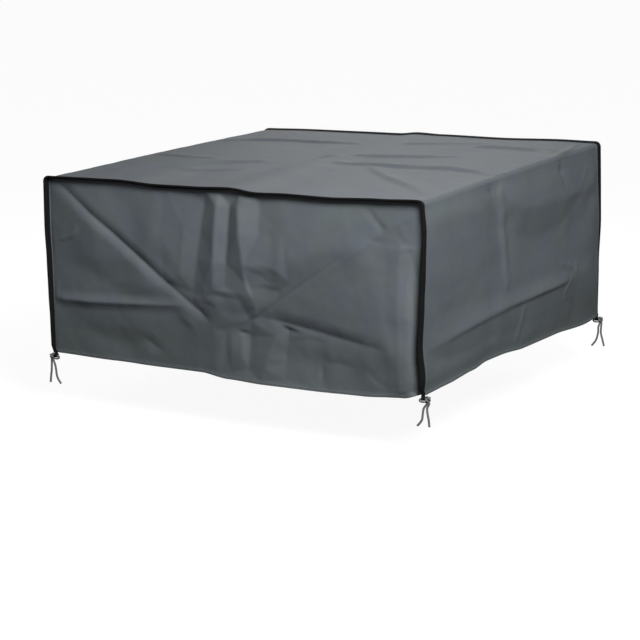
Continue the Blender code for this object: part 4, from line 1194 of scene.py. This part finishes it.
tape_seams = {face: Seam(face, TAPE_SIDES, TAPE_TOP, TAPE_SIDES) for face in ("front", "back")}
for face, seam in tape_seams.items():
    points, flats = [], []
    gone = lengths_along(seam.root)
    places = [(TAPE_START, TAPE_OFFSET)]
    places += [(outward, TAPE_OFFSET + TAPE_BULGE) for outward in TAPE_FULL]
    places += [(TAPE_FOLD, TAPE_OFFSET)]
    for step in (1, 2, 3):
        angle = math.pi / 4 * step
        places.append((TAPE_FOLD + TAPE_OFFSET * math.sin(angle), TAPE_OFFSET * math.cos(angle)))
    places += [(outward, -sideways) for outward, sideways in places[3::-1]]
    across = 0.0
    for k, (outward, sideways) in enumerate(places):
        if k:
            across += math.dist(places[k - 1], places[k])
        points.append(on_tape(seam, outward, sideways))
        flats.append(np.stack([gone, np.full(len(gone), across)], axis=1))
    points, flats = np.stack(points, axis=1), np.stack(flats, axis=1)
    tape = grid_piece("dressed_" + face + "_binding", points, flats, tape_finish)
    handed_in(thickened(tape, TAPE), face + "_binding")

# ------------------------------------------------------------------- stitches
# Black thread goes through both faces of the bindings and grey thread along the
# turned hems, one short piece of thread for each stitch.
STITCH_PITCH = 0.0036
STITCH_LENGTH = 0.0027
SHORTEST_STITCH = 0.8         # as a share of that length
THREAD_RADIUS = 0.00034
THREAD_SIDES = 6
BINDING_SEWN = 0.0030         # the stitches run this far from the tape's inner edge
HEM_SEED = 5                  # the hems' random stitch lengths are drawn from here on


def stitch_maker():
    """A node group that lays a short round piece of thread on every point."""
    group = bpy.data.node_groups.new("stitch_maker", "GeometryNodeTree")
    for name, kind in (("Geometry", "Geometry"), ("Stitch length", "Float"),
                       ("Thread radius", "Float"), ("Shortest", "Float"),
                       ("Seed", "Int"), ("Thread", "Material")):
        group.interface.new_socket(name, in_out="INPUT", socket_type="NodeSocket" + kind)
    group.interface.new_socket("Geometry", in_out="OUTPUT", socket_type="NodeSocketGeometry")

    def node(kind, settings=None, **links):
        made = group.nodes.new(kind)
        for key, value in (settings or {}).items():
            setattr(made, key, value)
        for key, source in links.items():
            group.links.new(source, made.inputs[key.replace("_", " ")])
        return made

    given = node("NodeGroupInput").outputs
    thread = node("GeometryNodeMeshCylinder", Radius=given["Thread radius"],
                  Depth=given["Stitch length"])
    thread.inputs["Vertices"].default_value = THREAD_SIDES
    along = node("GeometryNodeInputNamedAttribute", {"data_type": "FLOAT_VECTOR"})
    along.inputs["Name"].default_value = "along"
    turned = node("FunctionNodeAlignRotationToVector", {"axis": "Z"},
                  Vector=along.outputs["Attribute"])
    length = node("FunctionNodeRandomValue", {"data_type": "FLOAT"}, Seed=given["Seed"])
    group.links.new(given["Shortest"], length.inputs[2])
    size = node("ShaderNodeCombineXYZ", Z=length.outputs[1])
    size.inputs["X"].default_value = 1.0
    size.inputs["Y"].default_value = 1.0
    laid = node("GeometryNodeInstanceOnPoints", Points=given["Geometry"],
                Instance=thread.outputs["Mesh"], Rotation=turned.outputs["Rotation"],
                Scale=size.outputs["Vector"])
    real = node("GeometryNodeRealizeInstances", Geometry=laid.outputs["Instances"])
    dressed = node("GeometryNodeSetMaterial", Geometry=real.outputs["Geometry"],
                   Material=given["Thread"])
    node("NodeGroupOutput", Geometry=dressed.outputs["Geometry"])
    return group


def sewn_along(name, routes, seed, thread):
    """Stitches at an even pitch along some routes, as one mesh."""
    places, ways = [], []
    for route in routes:
        gone = lengths_along(route)
        at = np.arange(STITCH_PITCH, gone[-1] - STITCH_PITCH, STITCH_PITCH)
        here, ahead = (np.stack([np.interp(where, gone, route[:, axis]) for axis in range(3)],
                                axis=1) for where in (at, at + STITCH_PITCH / 2))
        places.append(here)
        ways.append((ahead - here) / np.linalg.norm(ahead - here, axis=1)[:, None])
    mesh = bpy.data.meshes.new(name)
    mesh.from_pydata(np.concatenate(places).tolist(), [], [])
    along = mesh.attributes.new("along", "FLOAT_VECTOR", "POINT")
    along.data.foreach_set("vector", np.concatenate(ways).ravel())
    piece = placed(name, mesh)
    laid = piece.modifiers.new("stitches", "NODES")
    laid.node_group = stitches
    values = {"Stitch length": STITCH_LENGTH, "Thread radius": THREAD_RADIUS,
              "Shortest": SHORTEST_STITCH, "Seed": seed, "Thread": thread}
    for socket in stitches.interface.items_tree:
        if socket.name in values:
            laid[socket.identifier] = values[socket.name]
    handed_in(applied(piece))


def thread_of(name, colour):
    """Plain matt thread."""
    finish = Finish(name, roughness=0.7)
    finish.shader.inputs["Base Color"].default_value = (*colour, 1.0)
    return finish.material


stitches = stitch_maker()
black_thread = thread_of("black_thread", (0.010, 0.010, 0.011))
grey_thread = thread_of("grey_thread", (0.190, 0.200, 0.210))
tape_face = TAPE_OFFSET + TAPE_BULGE + TAPE / 2
for seed, (face, seam) in enumerate(tape_seams.items()):
    both_faces = [on_tape(seam, TAPE_START + BINDING_SEWN, way * tape_face) for way in (1, -1)]
    sewn_along(face + "_binding_stitches", both_faces, seed, black_thread)
for seed, (name, line) in enumerate(hem_lines.items(), HEM_SEED):
    sewn_along(name + "_hem_stitches", [line], seed, grey_thread)

# -------------------------------------------------------------- floor and light
# A plain pale floor well below the cover, an even white surround and two soft lamps,
# a strong one from the upper right, before the front corner, and a weak one opposite.
FLOOR_HEIGHT = -0.66
FLOOR_HALF = 60
FLOOR_SHADE = (0.08, 0.08, 0.08, 1.0)     # how much of the cover's shadow it takes on
FLOOR_WHITE = 0.93            # how white it looks besides
FLOOR_BOUNCE = 0.10           # how much light it gives
SURROUND = 0.25               # the same for the surround, which looks fully white


def seen_or_lit(tree, seen, lit, output):
    """One look for the eye and another, dimmer one for what it lights."""
    path = tree.nodes.new("ShaderNodeLightPath")
    mix = tree.nodes.new("ShaderNodeMixShader")
    tree.links.new(path.outputs["Is Camera Ray"], mix.inputs[0])
    tree.links.new(lit, mix.inputs[1])
    tree.links.new(seen, mix.inputs[2])
    tree.links.new(mix.outputs[0], output)


def glow(tree, kind, strength):
    """White light of a strength, as the output of a new node."""
    made = tree.nodes.new("ShaderNode" + kind)
    made.inputs["Color"].default_value = (1.0, 1.0, 1.0, 1.0)
    made.inputs["Strength"].default_value = strength
    return made.outputs[0]


floor_mesh = bpy.data.meshes.new("floor")
corners = [(x * FLOOR_HALF, y * FLOOR_HALF, FLOOR_HEIGHT)
           for x, y in ((-1, -1), (1, -1), (1, 1), (-1, 1))]
floor_mesh.from_pydata(corners, [], [(0, 1, 2, 3)])
floor = placed("floor", floor_mesh)
pale = bpy.data.materials.new("pale_floor")
pale.use_nodes = True
tree = pale.node_tree
surface = tree.nodes["Principled BSDF"]
surface.inputs["Base Color"].default_value = FLOOR_SHADE
surface.inputs["Roughness"].default_value = 1.0
both = tree.nodes.new("ShaderNodeAddShader")
tree.links.new(surface.outputs[0], both.inputs[0])
tree.links.new(glow(tree, "Emission", FLOOR_WHITE), both.inputs[1])
seen_or_lit(tree, both.outputs[0], glow(tree, "Emission", FLOOR_BOUNCE),
            tree.nodes["Material Output"].inputs["Surface"])
floor_mesh.materials.append(pale)

world = bpy.data.worlds.new("studio")
bpy.context.scene.world = world
world.use_nodes = True
tree = world.node_tree
seen_or_lit(tree, glow(tree, "Background", 1.0), glow(tree, "Background", SURROUND),
            tree.nodes["World Output"].inputs["Surface"])


def soft_lamp(name, place, size, power):
    """A square lamp so many metres wide that faces the cover's top."""
    lamp = bpy.data.lights.new(name, "AREA")
    lamp.size = size
    lamp.energy = power
    turn = Vector(place).to_track_quat("Z", "Y").to_matrix().to_4x4()
    placed(name, lamp).matrix_world = Matrix.Translation(place) @ turn


soft_lamp("key", (2.50, -2.50, 2.10), size=1.3, power=250)
soft_lamp("behind", (-1.05, 2.45, 1.35), size=1.5, power=17)
bpy.context.scene.view_settings.view_transform = "Standard"
